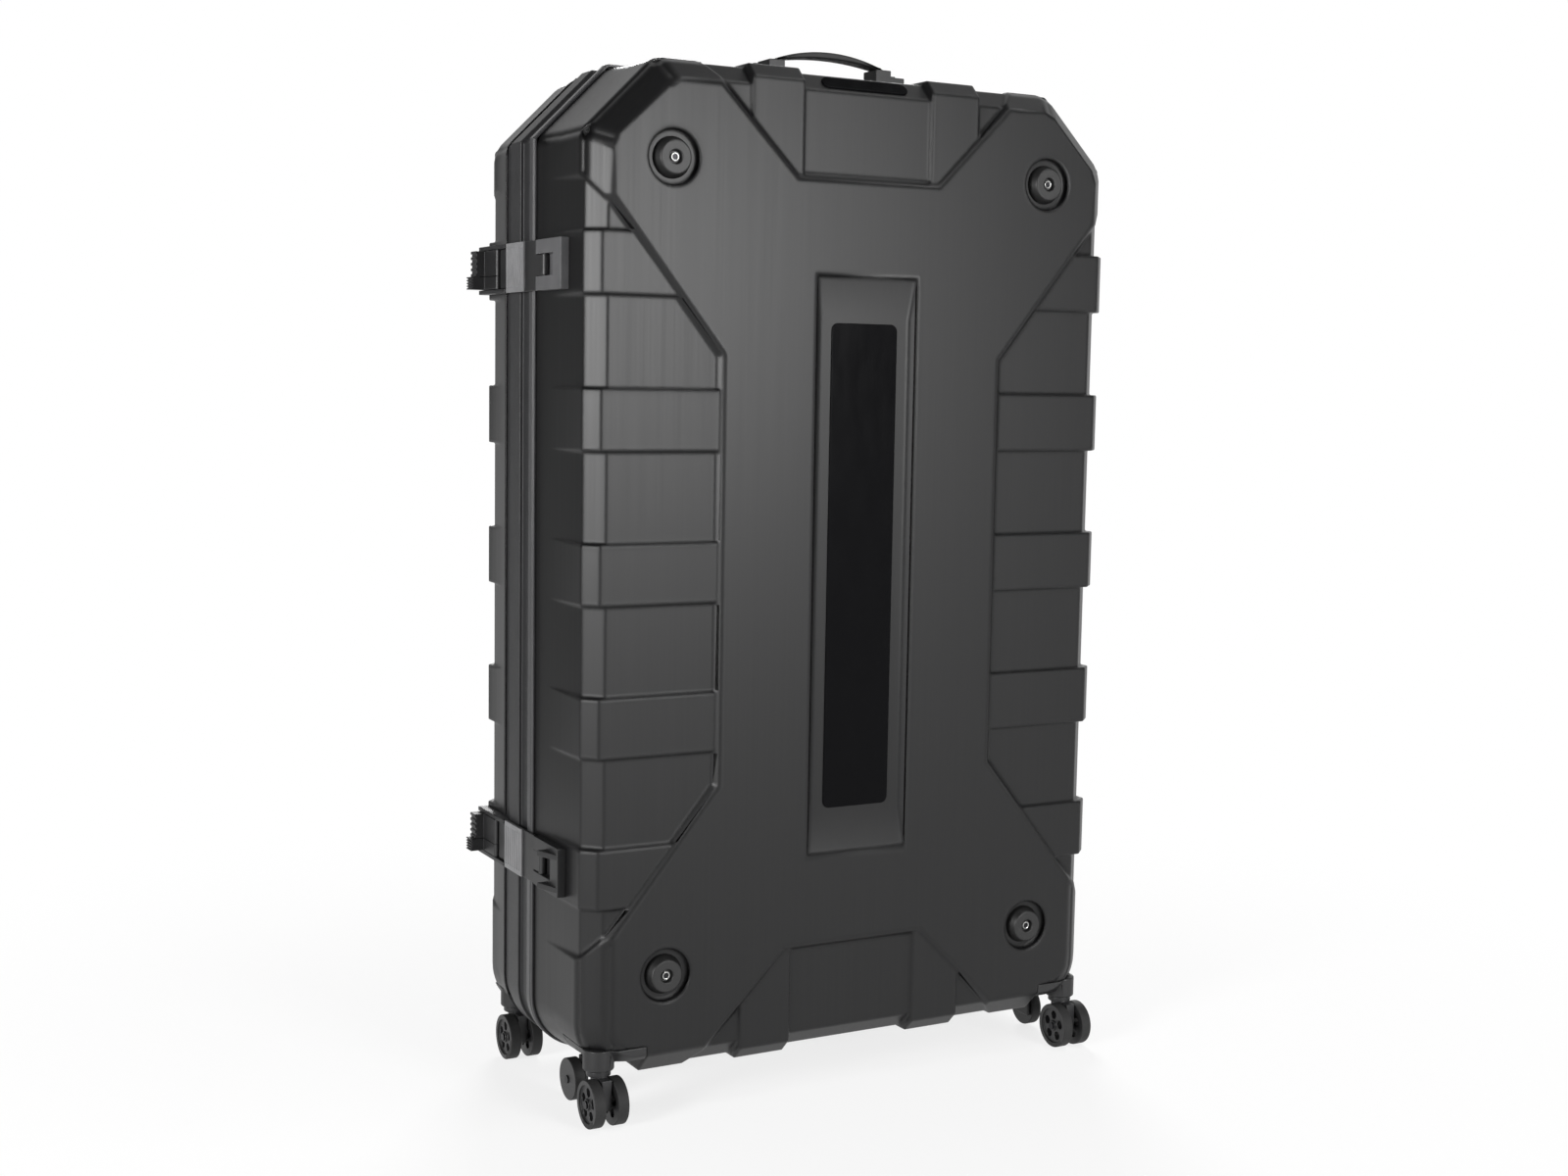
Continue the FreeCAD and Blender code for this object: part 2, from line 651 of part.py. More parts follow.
front_edge_depth = size("front_shell_depth")
rear_edge_depth = size("case_depth") - size("rear_shell_depth")
rim_start = front_edge_depth - size("rim_overlap")
rim_end = rim_start + size("rim_width")
frame_start = rim_end + size("parting_gap")
groove_end = frame_start + size("frame_groove")
band_end = groove_end + size("frame_band")
rim_reach, rim_inner = size("rim_reach"), size("rim_inner")
groove_reach, band_reach = size("frame_groove_reach"), size("frame_band_reach")

front_lip = ring(rim_reach, rim_inner, front_edge_depth - size("rim_lip"), front_edge_depth)
front_rim = ring(rim_reach, rim_inner, front_edge_depth, rim_end).multiFuse(
    [
        ring(rim_reach, rim_inner, rim_start, front_edge_depth).cut(front_filled),
        front_lip.common(front_hollow),
    ]
)
line_start = rim_start + size("rim_line")
rim_line = ring(
    rim_reach + size("wall"), rim_reach - size("rim_line_depth"), line_start, line_start + size("rim_line")
)
piece("front_rim", solid(front_rim.cut(rim_line).removeSplitter()))
front_rim_solid = solid(filled_ring(rim_reach, rim_start, rim_end))

rear_lip = ring(rim_reach, rim_inner, rear_edge_depth, rear_edge_depth + size("rim_lip"))
centre_frame = ring(groove_reach, rim_inner, frame_start, rear_edge_depth).multiFuse(
    [ring(band_reach, rim_inner, groove_end, band_end), rear_lip.common(rear_hollow)]
)
seal_outer, seal_inner = size("seal_outer"), size("seal_inner")
seal_end = frame_start + size("seal_seat")
seal_bed = ring(seal_outer, seal_inner, frame_start, seal_end)
piece("centre_frame", solid(centre_frame.cut(seal_bed).removeSplitter()))
frame_groove = filled_ring(groove_reach, frame_start, rear_edge_depth)
frame_solid = solid(frame_groove.fuse(filled_ring(band_reach, groove_end, band_end)))
piece("rim_seal", solid(ring(seal_outer, seal_inner, rim_end + size("seal_clear"), seal_end)))

# Bumpers with their screws and nuts


def bumper_set(name, floor, out):
    """Four bumpers; out is the sign of the direction in which they stand out along Y."""
    bumpers, screws, nuts = [], [], []
    tip = f"{floor} + {out} * (bumper_well_depth + bumper_proud)"
    shoulder = f"{tip} - {out} * bumper_bore_depth"
    inside = f"{floor} - {out} * wall"
    nut_end = f"{inside} - {out} * nut_height"

    def along(start, end):
        return ordered(out, start, end)

    for spot in bumper_spots():
        where = bumper_place(*spot)
        cone = doc.addObject("Part::Cone", "Bumper")
        cone.Placement = Placement(Vector(), Rotation(Vector(1, 0, 0), -90 * out))
        bind(
            cone,
            Radius1="bumper_base_radius",
            Radius2="bumper_top_radius",
            Height="bumper_well_depth + bumper_proud",
        )
        place(cone, where[0], floor, where[1])
        counterbore = rod("y", along(shoulder, f"{tip} + {out} * wall"), where, "bumper_bore_radius")
        through = rod("y", along(inside, shoulder), where, "screw_radius")
        bumpers.append(carved(cone, counterbore, through))
        head = rod(
            "y", along(shoulder, f"{shoulder} + {out} * screw_head_height"), where, "screw_head_radius"
        )
        shank = rod("y", along(f"{nut_end} - {out} * screw_tip", shoulder), where, "screw_radius")
        screws.append(joined(head, shank))
        nut = rod("y", along(nut_end, inside), where, "nut_radius")
        nut_bore = rod("y", along(nut_end, inside), where, "screw_radius")
        nuts.append(carved(nut, nut_bore))
    piece(f"{name}_bumpers", group(*bumpers))
    piece(f"{name}_bumper_screws", group(*screws))
    piece(f"{name}_bumper_nuts", group(*nuts))


bumper_set("front", FRONT_WELL_FLOOR, -1)
bumper_set("rear", REAR_WELL_FLOOR, 1)

# Bare plates


def rounded_plate(name, half, rise, thickness, corner):
    """A flat plate in XY with rounded corners, from a dimensioned sketch."""
    body = doc.addObject("PartDesign::Body", name)
    sketch = body.newObject("Sketcher::SketchObject", name + "Outline")
    planes = [item for item in body.Origin.OriginFeatures if item.Role == "XY_Plane"]
    sketch.AttachmentSupport = (planes[0], [""])
    sketch.MapMode = "FlatFace"
    x, y = size(half), size(rise)
    corners = [Vector(-x, -y, 0), Vector(x, -y, 0), Vector(x, y, 0), Vector(-x, y, 0)]
    for start, end in zip(corners, corners[1:] + corners[:1]):
        sketch.addGeometry(Part.LineSegment(start, end), False)
    rules = [Sketcher.Constraint("Coincident", i, 2, (i + 1) % 4, 1) for i in range(4)]
    rules += [Sketcher.Constraint("Horizontal", i) for i in (0, 2)]
    rules += [Sketcher.Constraint("Vertical", i) for i in (1, 3)]
    rules.append(Sketcher.Constraint("Symmetric", 0, 1, 2, 1, -1, 1))
    sketch.addConstraint(rules)
    for edge, alias in ((0, half), (1, rise)):
        index = sketch.addConstraint(Sketcher.Constraint("Distance", edge, 2 * size(alias)))
        sketch.setExpression(f"Constraints[{index}]", bound(f"2 * {alias}"))
    pad = body.newObject("PartDesign::Pad", name + "Pad")
    pad.Profile = sketch
    pad.setExpression("Length", bound(thickness))
    doc.recompute()
    upright = [
        f"Edge{i}"
        for i, edge in enumerate(pad.Shape.Edges, start=1)
        if abs(edge.tangentAt(edge.FirstParameter).z) > 0.5
    ]
    fillet = body.newObject("PartDesign::Fillet", name + "Corners")
    fillet.Base = (pad, upright)
    fillet.setExpression("Radius", bound(corner))
    body.Tip = fillet
    return body


name_plate = rounded_plate("NamePlate", "plate_half", "plate_rise", "plate_thickness", "plate_corner")
name_plate.Placement = Placement(Vector(), Rotation(Vector(1, 0, 0), 90))
piece("name_plate", name_plate)
place(name_plate, "0", f"{FRONT_PLANE} + pocket_depth", "panel_height")

top_badge = rounded_plate("TopBadge", "badge_half", "badge_rise", "badge_thickness", "badge_corner")
top_badge.Placement = Placement(Vector(), Rotation(Vector(1, 0, 0), 45))
piece("top_badge", top_badge)
place(
    top_badge,
    "0",
    f"{FRONT_PLANE} + recess_depth + (recess_reach - recess_face) / 2",
    "panel_height + top_extra + (recess_reach + recess_face) / 2",
)

# Hinges on the right

HINGE_HEIGHTS = [f"panel_height + {step} * rib_pitch" for step in (-2, 0, 2)]
HINGE_AXIS = ("hinge_x", PARTING)
KNUCKLE_TOP = "(1.5 * knuckle_length + knuckle_gap)"
KNUCKLE_STEP = "(knuckle_length + knuckle_gap)"


def leaf(way, height, seats, knuckles, bore):
    """One leaf: a plate seated on the side, and a web and eye for each knuckle; way is -1 for the lid."""
    plate_span = ordered(
        way, f"{PARTING} + {way} * leaf_setback", f"{PARTING} + {way} * (leaf_setback + leaf_length)"
    )
    web_span = around(f"{PARTING} + {way} * leaf_setback", "leaf_web / 2")
    parts = [block(("rim_inner", "leaf_reach"), plate_span, around(height, "leaf_half"))]
    for step in knuckles:
        span = around(f"{height} + {step} * {KNUCKLE_STEP}", "knuckle_length / 2")
        parts.append(block(("rim_inner", "hinge_x"), web_span, span))
        parts.append(rod("z", span, HINGE_AXIS, "knuckle_radius"))
    pin_bore = rod("z", around(height, KNUCKLE_TOP), HINGE_AXIS, bore)
    return carved(joined(*parts), pin_bore, *seats)


lid_seats = (front_solid, front_rim_solid)
base_seats = (rear_solid, frame_solid)
lid_leaves, base_leaves, hinge_pins = [], [], []
for height in HINGE_HEIGHTS:
    lid_leaves.append(leaf(-1, height, lid_seats, (0,), "hinge_pin_radius + running_fit"))
    base_leaves.append(leaf(1, height, base_seats, (-1, 1), "hinge_pin_radius"))
    pin = rod("z", around(height, KNUCKLE_TOP), HINGE_AXIS, "hinge_pin_radius")
    cap_low = f"{height} + {KNUCKLE_TOP}"
    cap = rod("z", (cap_low, f"{cap_low} + hinge_pin_cap"), HINGE_AXIS, "hinge_pin_head")
    hinge_pins.append(joined(pin, cap))
piece("lid_hinge_leaves", group(*lid_leaves))
piece("base_hinge_leaves", group(*base_leaves))
piece("hinge_pins", group(*hinge_pins))

# Latches on the left


def on_left(inner, outer):
    return mirrored(-1, inner, outer)


def strap_anchor(height):
    """C-shaped plate on the lid, and the pin across its slot."""
    rear = f"{PARTING} - anchor_setback"
    top = f"{STRAP_OUT} + anchor_proud"
    plate = block(
        on_left("rib_reach - seat_depth", top),
        (f"{rear} - anchor_length", rear),
        around(height, "latch_half"),
    )
    slot = block(
        on_left(f"{STRAP_AXIS} - strap_knuckle_radius - strap_eye_clear", f"{top} + wall"),
        (f"{rear} - anchor_slot_length", f"{rear} + wall"),
        around(height, "anchor_slot_half"),
    )
    axis = (f"-{STRAP_AXIS}", f"{PARTING} - strap_pin_setback")
    bore = rod("z", around(height, "latch_half"), axis, "anchor_pin_radius")
    pin = rod("z", around(height, "latch_half"), axis, "anchor_pin_radius")
    return carved(plate, slot, bore, front_solid), pin


def strap_arm(height):
    """Eye, neck, wide link and tongue in one moulding."""
    axis = (f"-{STRAP_AXIS}", f"{PARTING} - strap_pin_setback")
    deep = on_left(STRAP_IN, STRAP_OUT)
    link_start = f"{PARTING} - strap_link_setback"
    link_end = f"{PARTING} + band_end"
    parts = [
        rod("z", around(height, "strap_neck_half"), axis, "strap_knuckle_radius"),
        block(deep, (axis[1], link_start), around(height, "strap_neck_half")),
        block(deep, (link_start, link_end), around(height, "latch_half")),
        block(deep, (link_end, f"{PARTING} + tongue_end"), around(height, "tongue_half")),
    ]
    bore = rod("z", around(height, "strap_neck_half"), axis, "anchor_pin_radius + running_fit")
    return carved(joined(*parts), bore)


def strap_band(height):
    """Pale band over the link with shallow cross grooves for the ratchet."""
    face = f"{STRAP_OUT} + band_thickness"
    start, end = f"{PARTING} + band_start", f"{PARTING} + band_end"
    pitch = f"({end} - ({start})) / 15"
    tools = []
    for groove in range(1, 14, 2):
        span = (f"{start} + {groove} * {pitch}", f"{start} + {groove + 1} * {pitch}")
        depth = on_left(f"{face} - band_groove", f"{face} + wall")
        tools.append(block(depth, span, around(height, "tongue_half")))
    return carved(block(on_left(STRAP_OUT, face), (start, end), around(height, "latch_half")), *tools)


def latch_housing(height):
    """Trough on the rear half that the tongue lies in, and the pin that carries both levers."""
    span = (f"{PARTING} + housing_start", f"{PARTING} + housing_end")
    root = "frame_groove_reach - seat_depth"
    parts = [
        block(on_left(root, f"{STRAP_IN} - housing_floor_clear"), span, around(height, "latch_half"))
    ]
    for way in (-1, 1):
        cheek = ordered(
            way, f"{height} + {way} * (tongue_half + strap_clear)", f"{height} + {way} * latch_half"
        )
        parts.append(block(on_left(root, f"{STRAP_OUT} + housing_proud"), span, cheek))
    axis = (f"-{LEVER_AXIS}", f"{PARTING} + lever_pin_station")
    bore = rod("z", around(height, "latch_half"), axis, "lever_pin_radius")
    pin = rod("z", around(height, "latch_half"), axis, "lever_pin_radius")
    return carved(joined(*parts), bore, rear_solid, frame_solid), pin


def latch_lever(low, high, thumb):
    """Lever on the housing's pin with a serrated thumb pad at its rear end."""
    axis = (f"-{LEVER_AXIS}", f"{PARTING} + lever_pin_station")
    end = f"{PARTING} + lever_end"
    span = (low, high)
    tip = f"{LEVER_OUT} + {thumb}"
    pad_start = f"{end} - thumb_length"
    parts = [
        rod("z", span, axis, "lever_radius"),
        block(on_left(f"{LEVER_AXIS} - lever_radius", LEVER_OUT), (axis[1], end), span),
        block(on_left(f"{LEVER_AXIS} - lever_radius", tip), (pad_start, end), span),
    ]
    tools = [rod("z", span, axis, "lever_pin_radius + running_fit")]
    pitch = f"(({high}) - ({low})) / 9"
    for tooth in range(1, 8, 2):
        groove = (f"{low} + {tooth} * {pitch}", f"{low} + {tooth + 1} * {pitch}")
        tools.append(block(on_left(f"{tip} - tooth_depth", f"{tip} + wall"), (pad_start, end), groove))
    return carved(joined(*parts), *tools)


anchors, anchor_pins, housings, lever_pins = [], [], [], []
for name, step in (("upper", 2), ("lower", -2)):
    height = f"(panel_height + {step} * rib_pitch)"
    anchor, anchor_pin = strap_anchor(height)
    housing, lever_pin = latch_housing(height)
    anchors.append(anchor)
    anchor_pins.append(anchor_pin)
    housings.append(housing)
    lever_pins.append(lever_pin)
    piece(f"{name}_strap_arm", strap_arm(height))
    piece(f"{name}_strap_band", strap_band(height))
    split = f"{height} + lever_split"
    reach = "(tongue_half + strap_clear - lever_gap)"
    ratchet = latch_lever(f"{split} + lever_gap / 2", f"{height} + {reach}", "ratchet_thumb")
    release = latch_lever(f"{height} - {reach}", f"{split} - lever_gap / 2", "release_thumb")
    piece(f"{name}_ratchet_lever", ratchet)
    piece(f"{name}_release_lever", release)
piece("latch_anchors", group(*anchors))
piece("latch_anchor_pins", group(*anchor_pins))
piece("latch_housings", group(*housings))
piece("latch_lever_pins", group(*lever_pins))

# Handles


def grip_shape(rise):
    """An arched grip with a straight leg at each end: span along X, crown along Z, width along Y."""
    half, thick = size("handle_half_span"), size("grip_thickness") / 2
    spring = size("socket_height") + size("grip_clear")
    foot = size("socket_floor") + size("grip_clear")

    def arch(reach, crown):
        return Part.Arc(Vector(-reach, 0, spring), Vector(0, 0, crown), Vector(reach, 0, spring)).toShape()

    outside = [Vector(half + thick, 0, z) for z in (spring, foot)]
    inside = [Vector(half - thick, 0, z) for z in (foot, spring)]
    right = outside + inside
    left = [Vector(-point.x, 0, point.z) for point in reversed(right)]
    edges = [arch(half + thick, rise), Part.makePolygon(right)]
    edges += [arch(half - thick, rise - 2 * thick), Part.makePolygon(left)]
    loose = [edge for wire in edges for edge in wire.Edges]
    wire = Part.Wire(Part.__sortEdges__(loose))
    return Part.Face(wire).extrude(Vector(0, size("grip_width"), 0))


def handle(name, axes, middle, station, surface, seat, rise):
    """A grip that pulls out of two boxed ends; axes puts the span along X on top, along Z on the side."""

    def facing(along, across, out):
        return block(along, across, out) if axes == "xyz" else block(out, across, along)

    def stud(along, out, radius):
        cross = (along, station) if axes == "xyz" else (station, along)
        return rod(axes[2], out, cross, radius)

    root = f"{surface} - seat_depth"
    bases, screws = [], []
    for way in (-1, 1):
        leg = f"{middle} + {way} * handle_half_span"
        wide = around(station, "socket_width / 2")
        box = facing(around(leg, "socket_half"), wide, (root, f"{surface} + socket_height"))
        foot_span = ordered(
            way, f"{leg} + {way} * socket_half", f"{leg} + {way} * (socket_half + foot_length)"
        )
        foot = facing(foot_span, wide, (root, f"{surface} + foot_height"))
        slot = facing(
            around(leg, "grip_thickness / 2 + grip_clear"),
            around(station, "grip_width / 2 + grip_clear"),
            (f"{surface} + socket_floor", f"{surface} + socket_height + wall"),
        )
        screw = f"{leg} + {way} * (socket_half + foot_length / 2)"
        shank_span = (f"{surface} + foot_height / 2", f"{surface} + foot_height")
        shank = stud(screw, shank_span, "screw_radius")
        bore = stud(screw, shank_span, "screw_radius")
        head_span = (shank_span[1], f"{shank_span[1]} + screw_head_height")
        bases.append(carved(joined(box, foot), slot, bore, seat))
        screws.append(joined(shank, stud(screw, head_span, "screw_head_radius")))
    piece(f"{name}_handle_bases", group(*bases))
    piece(f"{name}_handle_screws", group(*screws))
    grip = solid(grip_shape(size(rise)))
    piece(f"{name}_handle_grip", grip)
    edge = f"{FRONT_PLANE} + {station} - grip_width / 2"
    if axes == "xyz":
        place(grip, middle, edge, surface)
    else:
        grip.Placement = Placement(Vector(), Rotation(Vector(0, 1, 0), 90))
        place(grip, surface, edge, middle)


handle("top", "xyz", "0", "handle_station", TOP_SURFACE, front_solid, "handle_rise")
handle(
    "side",
    "zyx",
    "side_handle_height",
    "(case_depth - side_handle_station)",
    SIDE_SURFACE,
    rear_solid,
    "side_handle_rise",
)

# Casters, corner brackets and rollers


def corner_form(edge_depth):
    """The X panel's form, filled, whose lower corners the brackets carry on."""
    half = min(size("panel_reach"), size("seam_half"))
    return tray(0, size("panel_face"), size("panel_reach"), half, edge_depth, 0)


def wheel(middle_x, way, axle_y, axle_z):
    """A caster wheel: tread ring, dished face, hub and the openings between its spokes."""
    inner, outer = f"{middle_x} + {way} * {WHEEL_IN}", f"{middle_x} + {way} * {WHEEL_OUT}"
    width = ordered(way, inner, outer)
    centre = (axle_y, axle_z)
    dish_span = ordered(way, f"{outer} - {way} * wheel_dish", outer)
    dish_face = rod("x", dish_span, centre, "wheel_radius - tread")
    dish = carved(dish_face, rod("x", dish_span, centre, "hub_radius"))
    tools = [rod("x", width, centre, "axle_radius + running_fit"), dish]
    for number in range(5):
        turn = math.radians(72 * number + 90)
        spot = (
            f"{axle_y} + spoke_hole_ring * {math.cos(turn):.6f}",
            f"{axle_z} + spoke_hole_ring * {math.sin(turn):.6f}",
        )
        tools.append(rod("x", width, spot, "spoke_hole_radius"))
    return carved(rod("x", width, centre, "wheel_radius"), *tools)


def caster(name, side, kingpin_y):
    """Fork, pins and twin wheels below one kingpin."""
    kingpin_x = f"{side} * caster_x"
    axle_y = f"({kingpin_y} - caster_trail)"
    kingpin_at = (kingpin_x, kingpin_y)
    deep = f"({CROWN_LOW} - kingpin_depth)"
    fork = joined(
        rod("z", (CROWN_LOW, CROWN_TOP), kingpin_at, "crown_radius"),
        block(
            around(kingpin_x, "fork_half"),
            (f"{axle_y} - fork_nose", f"{kingpin_y} + fork_tail"),
            ("wheel_radius", CROWN_LOW),
        ),
        rod("x", around(kingpin_x, "fork_half"), (axle_y, "wheel_radius"), "fork_nose"),
    )
    fork_bores = (
        rod("z", (deep, CROWN_TOP), kingpin_at, "kingpin_radius"),
        rod("x", around(kingpin_x, "fork_half"), (axle_y, "wheel_radius"), "axle_radius"),
    )
    piece(f"{name}_fork", carved(fork, *fork_bores))
    kingpin = joined(
        rod("z", (deep, HEAD_LOW), kingpin_at, "kingpin_radius"),
        rod("z", (HEAD_LOW, f"{HEAD_LOW} + kingpin_head"), kingpin_at, "kingpin_head_radius"),
    )
    axle = [rod("x", around(kingpin_x, AXLE_END), (axle_y, "wheel_radius"), "axle_radius")]
    for way in (-1, 1):
        end = f"{kingpin_x} + {way} * {AXLE_END}"
        span = ordered(way, f"{end} - {way} * axle_cap", end)
        axle.append(rod("x", span, (axle_y, "wheel_radius"), "axle_cap_radius"))
    piece(f"{name}_pins", group(kingpin, joined(*axle)))
    for place_name, way in (("outer", side), ("inner", -side)):
        piece(f"{name}_{place_name}_wheel", wheel(kingpin_x, way, axle_y, "wheel_radius"))


def corner_bracket(side, form, well_span, kingpin_y, extras):
    """A solid corner under the wheel well's roof with a boss for the kingpin."""
    kingpin_at = (f"{side} * caster_x", kingpin_y)
    plate = common(
        form,
        block(mirrored(side, "well_half", "2 * seam_half"), well_span, (BRACKET_LOW, "well_top")),
    )
    boss = rod("z", (BOSS_LOW, "well_top"), kingpin_at, "boss_radius")
    bore = rod("z", (BOSS_LOW, "well_top"), kingpin_at, "kingpin_radius + running_fit")
    head = rod(
        "z", (f"{HEAD_LOW} - running_fit", "well_top"), kingpin_at, "kingpin_head_radius + 2 * running_fit"
    )
    return carved(joined(plate, boss, *extras), bore, head)


def roller_arm(side):
    """The arm down from a front bracket, and the pin that its roller turns on."""
    inner, outer = "roller_x - arm_gap - arm_thickness", "roller_x - arm_gap"
    thick = mirrored(side, inner, outer)
    root = "front_well_depth - arm_length"
    axis = ("roller_station", ROLLER_AXIS)
    roof = "well_top - arm_roof_drop"
    eye = rod("x", thick, axis, "arm_eye")
    drop = block(thick, (root, "front_well_depth"), (f"{ROLLER_AXIS} - arm_eye", "well_top"))
    run = block(thick, (root, "roller_station"), (f"{ROLLER_AXIS} - arm_eye", roof))
    pin_end = "roller_x + roller_width + axle_play"
    pin = joined(
        rod("x", mirrored(side, inner, pin_end), axis, "axle_radius"),
        rod("x", mirrored(side, pin_end, f"{pin_end} + axle_cap"), axis, "axle_cap_radius"),
    )
    bore = rod("x", thick, axis, "axle_radius")
    return carved(joined(drop, run, eye), bore), pin


def roller(side):
    axis = ("roller_station", ROLLER_AXIS)
    span = mirrored(side, "roller_x", "roller_x + roller_width")
    return carved(rod("x", span, axis, "roller_radius"), rod("x", span, axis, "axle_radius + running_fit"))


front_corner = solid(corner_form(size("front_shell_depth")))
rear_corner = solid(to_rear(corner_form(size("rear_shell_depth"))))
FRONT_KINGPIN = "front_caster_inset"
REAR_KINGPIN = "(case_depth - rear_caster_inset)"
FRONT_WELL = ("-wall", "front_well_depth")
REAR_WELL = ("case_depth - rear_shell_depth + wall", "case_depth + wall")
front_brackets, rear_brackets, roller_pins = [], [], []
for name, side in (("left", -1), ("right", 1)):
    arm, pin = roller_arm(side)
    front_brackets.append(corner_bracket(side, front_corner, FRONT_WELL, FRONT_KINGPIN, [arm]))
    rear_brackets.append(corner_bracket(side, rear_corner, REAR_WELL, REAR_KINGPIN, []))
    roller_pins.append(pin)
    caster(f"front_{name}", side, FRONT_KINGPIN)
    caster(f"rear_{name}", side, REAR_KINGPIN)
    piece(f"{name}_roller", roller(side))
piece("front_caster_brackets", group(*front_brackets))
piece("rear_caster_brackets", group(*rear_brackets))
piece("roller_pins", group(*roller_pins))

# Foam pads, tie-down straps and buckles


def pad(y_range):
    sheet_block = block(
        around("0", "pad_half"), y_range, ("panel_height - pad_bottom", "panel_height + pad_top")
    )
    holes = [rod("y", y_range, bumper_place(*spot), "pad_hole_radius") for spot in bumper_spots()]
    return carved(sheet_block, *holes)


PAD_BACK = f"(case_depth - {PADDED})"
piece("front_pad", pad((PAD_SEAT, PADDED)))
piece("rear_pad", pad((PAD_BACK, f"case_depth - {PAD_SEAT}")))
straps, buckles = [], []
for level in (-1, 1):
    height = f"(panel_height + {level} * tie_rise)"
    strap_front = f"{PAD_BACK} - tie_thickness"
    strap_depth = (strap_front, PAD_BACK)
    straps.append(block(around("0", "strap_half"), strap_depth, around(height, "tie_width / 2")))
    buckles.append(
        block(
            around("buckle_x", "buckle_length / 2"),
            (f"{strap_front} - buckle_height", strap_front),
            around(height, "buckle_width / 2"),
        )
    )
piece("tie_straps", group(*straps))
piece("tie_buckles", group(*buckles))

# Check and write

doc.recompute()
failed = [obj.Label for obj in doc.Objects if "Invalid" in obj.State or "Error" in obj.State]
failed += [obj.Label for obj in PIECES if obj.Shape.isNull() or not obj.Shape.isValid()]
if failed:
    raise RuntimeError("these objects failed: " + ", ".join(failed))
os.makedirs("parts", exist_ok=True)
for obj in PIECES:
    obj.Shape.exportStep(f"parts/{obj.Label}.step")
    box = obj.Shape.BoundBox
    print(
        f"{obj.Label:26s} solids {len(obj.Shape.Solids)} volume {obj.Shape.Volume / 1000:9.2f} cm3 "
        f"x {box.XMin:7.1f} {box.XMax:7.1f} y {box.YMin:7.1f} {box.YMax:7.1f} "
        f"z {box.ZMin:7.1f} {box.ZMax:7.1f}"
    )
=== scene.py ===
# %% [markdown]
# # A hard travel case for a bicycle
# The case stands on four twin-wheel casters. Its two moulded shells meet at a grey rim, and the
# front one opens as a lid. This lesson loads the solid model as a fixed frame, rounds its moulded
# edges, gives every surface a finish, and adds the soft and small pieces that solids are too plain for.

# %% Load the frame
import json
import math

import bmesh
import bpy
from mathutils import Matrix, Vector


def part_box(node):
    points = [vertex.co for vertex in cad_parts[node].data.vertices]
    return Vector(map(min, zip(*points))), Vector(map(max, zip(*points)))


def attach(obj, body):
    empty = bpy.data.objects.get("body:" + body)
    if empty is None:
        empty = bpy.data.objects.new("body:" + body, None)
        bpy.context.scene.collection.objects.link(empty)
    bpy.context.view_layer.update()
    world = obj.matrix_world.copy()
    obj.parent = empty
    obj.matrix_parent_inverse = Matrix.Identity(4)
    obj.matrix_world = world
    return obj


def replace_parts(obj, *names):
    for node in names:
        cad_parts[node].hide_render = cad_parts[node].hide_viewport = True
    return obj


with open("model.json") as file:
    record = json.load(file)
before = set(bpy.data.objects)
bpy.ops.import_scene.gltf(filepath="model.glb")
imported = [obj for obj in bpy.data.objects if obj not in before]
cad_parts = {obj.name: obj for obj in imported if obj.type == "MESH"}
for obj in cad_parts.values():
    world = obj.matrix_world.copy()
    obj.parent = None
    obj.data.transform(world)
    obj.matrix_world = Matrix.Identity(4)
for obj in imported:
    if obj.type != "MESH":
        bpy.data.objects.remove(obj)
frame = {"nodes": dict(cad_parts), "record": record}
nodes = frame["nodes"]
scene = bpy.context.scene
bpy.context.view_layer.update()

# %% [markdown]
# ## The camera
# The photograph looks down a little on the front and the left side. Its camera was solved from places on
# the case, such as its bumpers and the bends of its panel, so it is given as a place, three turns and a
# focal length. The turns multiply in the order that a tripod makes them: pan, tilt, then roll.

# %% Camera
EYE = (-1.2781, -2.2984, 0.8932)
PAN = math.radians(28.706)
TILT = math.radians(5.9265)
ROLL = math.radians(0.976)
FOCAL_PIXELS = 2048.28
IMAGE_WIDTH = 1600
SENSOR_WIDTH = 36
QUARTER_TURN = math.pi / 2

camera_data = bpy.data.cameras.new("camera")
camera_data.sensor_width = SENSOR_WIDTH
camera_data.lens = FOCAL_PIXELS * camera_data.sensor_width / IMAGE_WIDTH
camera = bpy.data.objects.new("camera", camera_data)
scene.collection.objects.link(camera)
pan = Matrix.Rotation(-PAN, 4, "Z")
tilt = Matrix.Rotation(QUARTER_TURN - TILT, 4, "X")
roll = Matrix.Rotation(ROLL, 4, "Z")
camera.matrix_world = Matrix.Translation(EYE) @ pan @ tilt @ roll
scene.camera = camera
print("lens", round(camera_data.lens, 2), "mm")

# %% [markdown]
# ## The studio
# A pale floor runs to a white backdrop behind the case. What the camera and mirrors see of them is
# plain white, except that near the case a share of the floor is left to the lamps, which keeps the
# soft shadow.

# %% White paper
SHADOW_SHARE = 0.22
SHADOW_START = 0.3
SHADOW_REACH = 1.6


def seen_plainly(tree):
    """A number that is 1 for rays from the camera, off mirrors or through glass, and 0 for the rest."""
    path = tree.nodes.new("ShaderNodeLightPath")
    seen = path.outputs["Is Camera Ray"]
    for name in ("Is Glossy Ray", "Is Transmission Ray"):
        either = tree.nodes.new("ShaderNodeMath")
        either.operation = "MAXIMUM"
        tree.links.new(seen, either.inputs[0])
        tree.links.new(path.outputs[name], either.inputs[1])
        seen = either.outputs[0]
    return seen


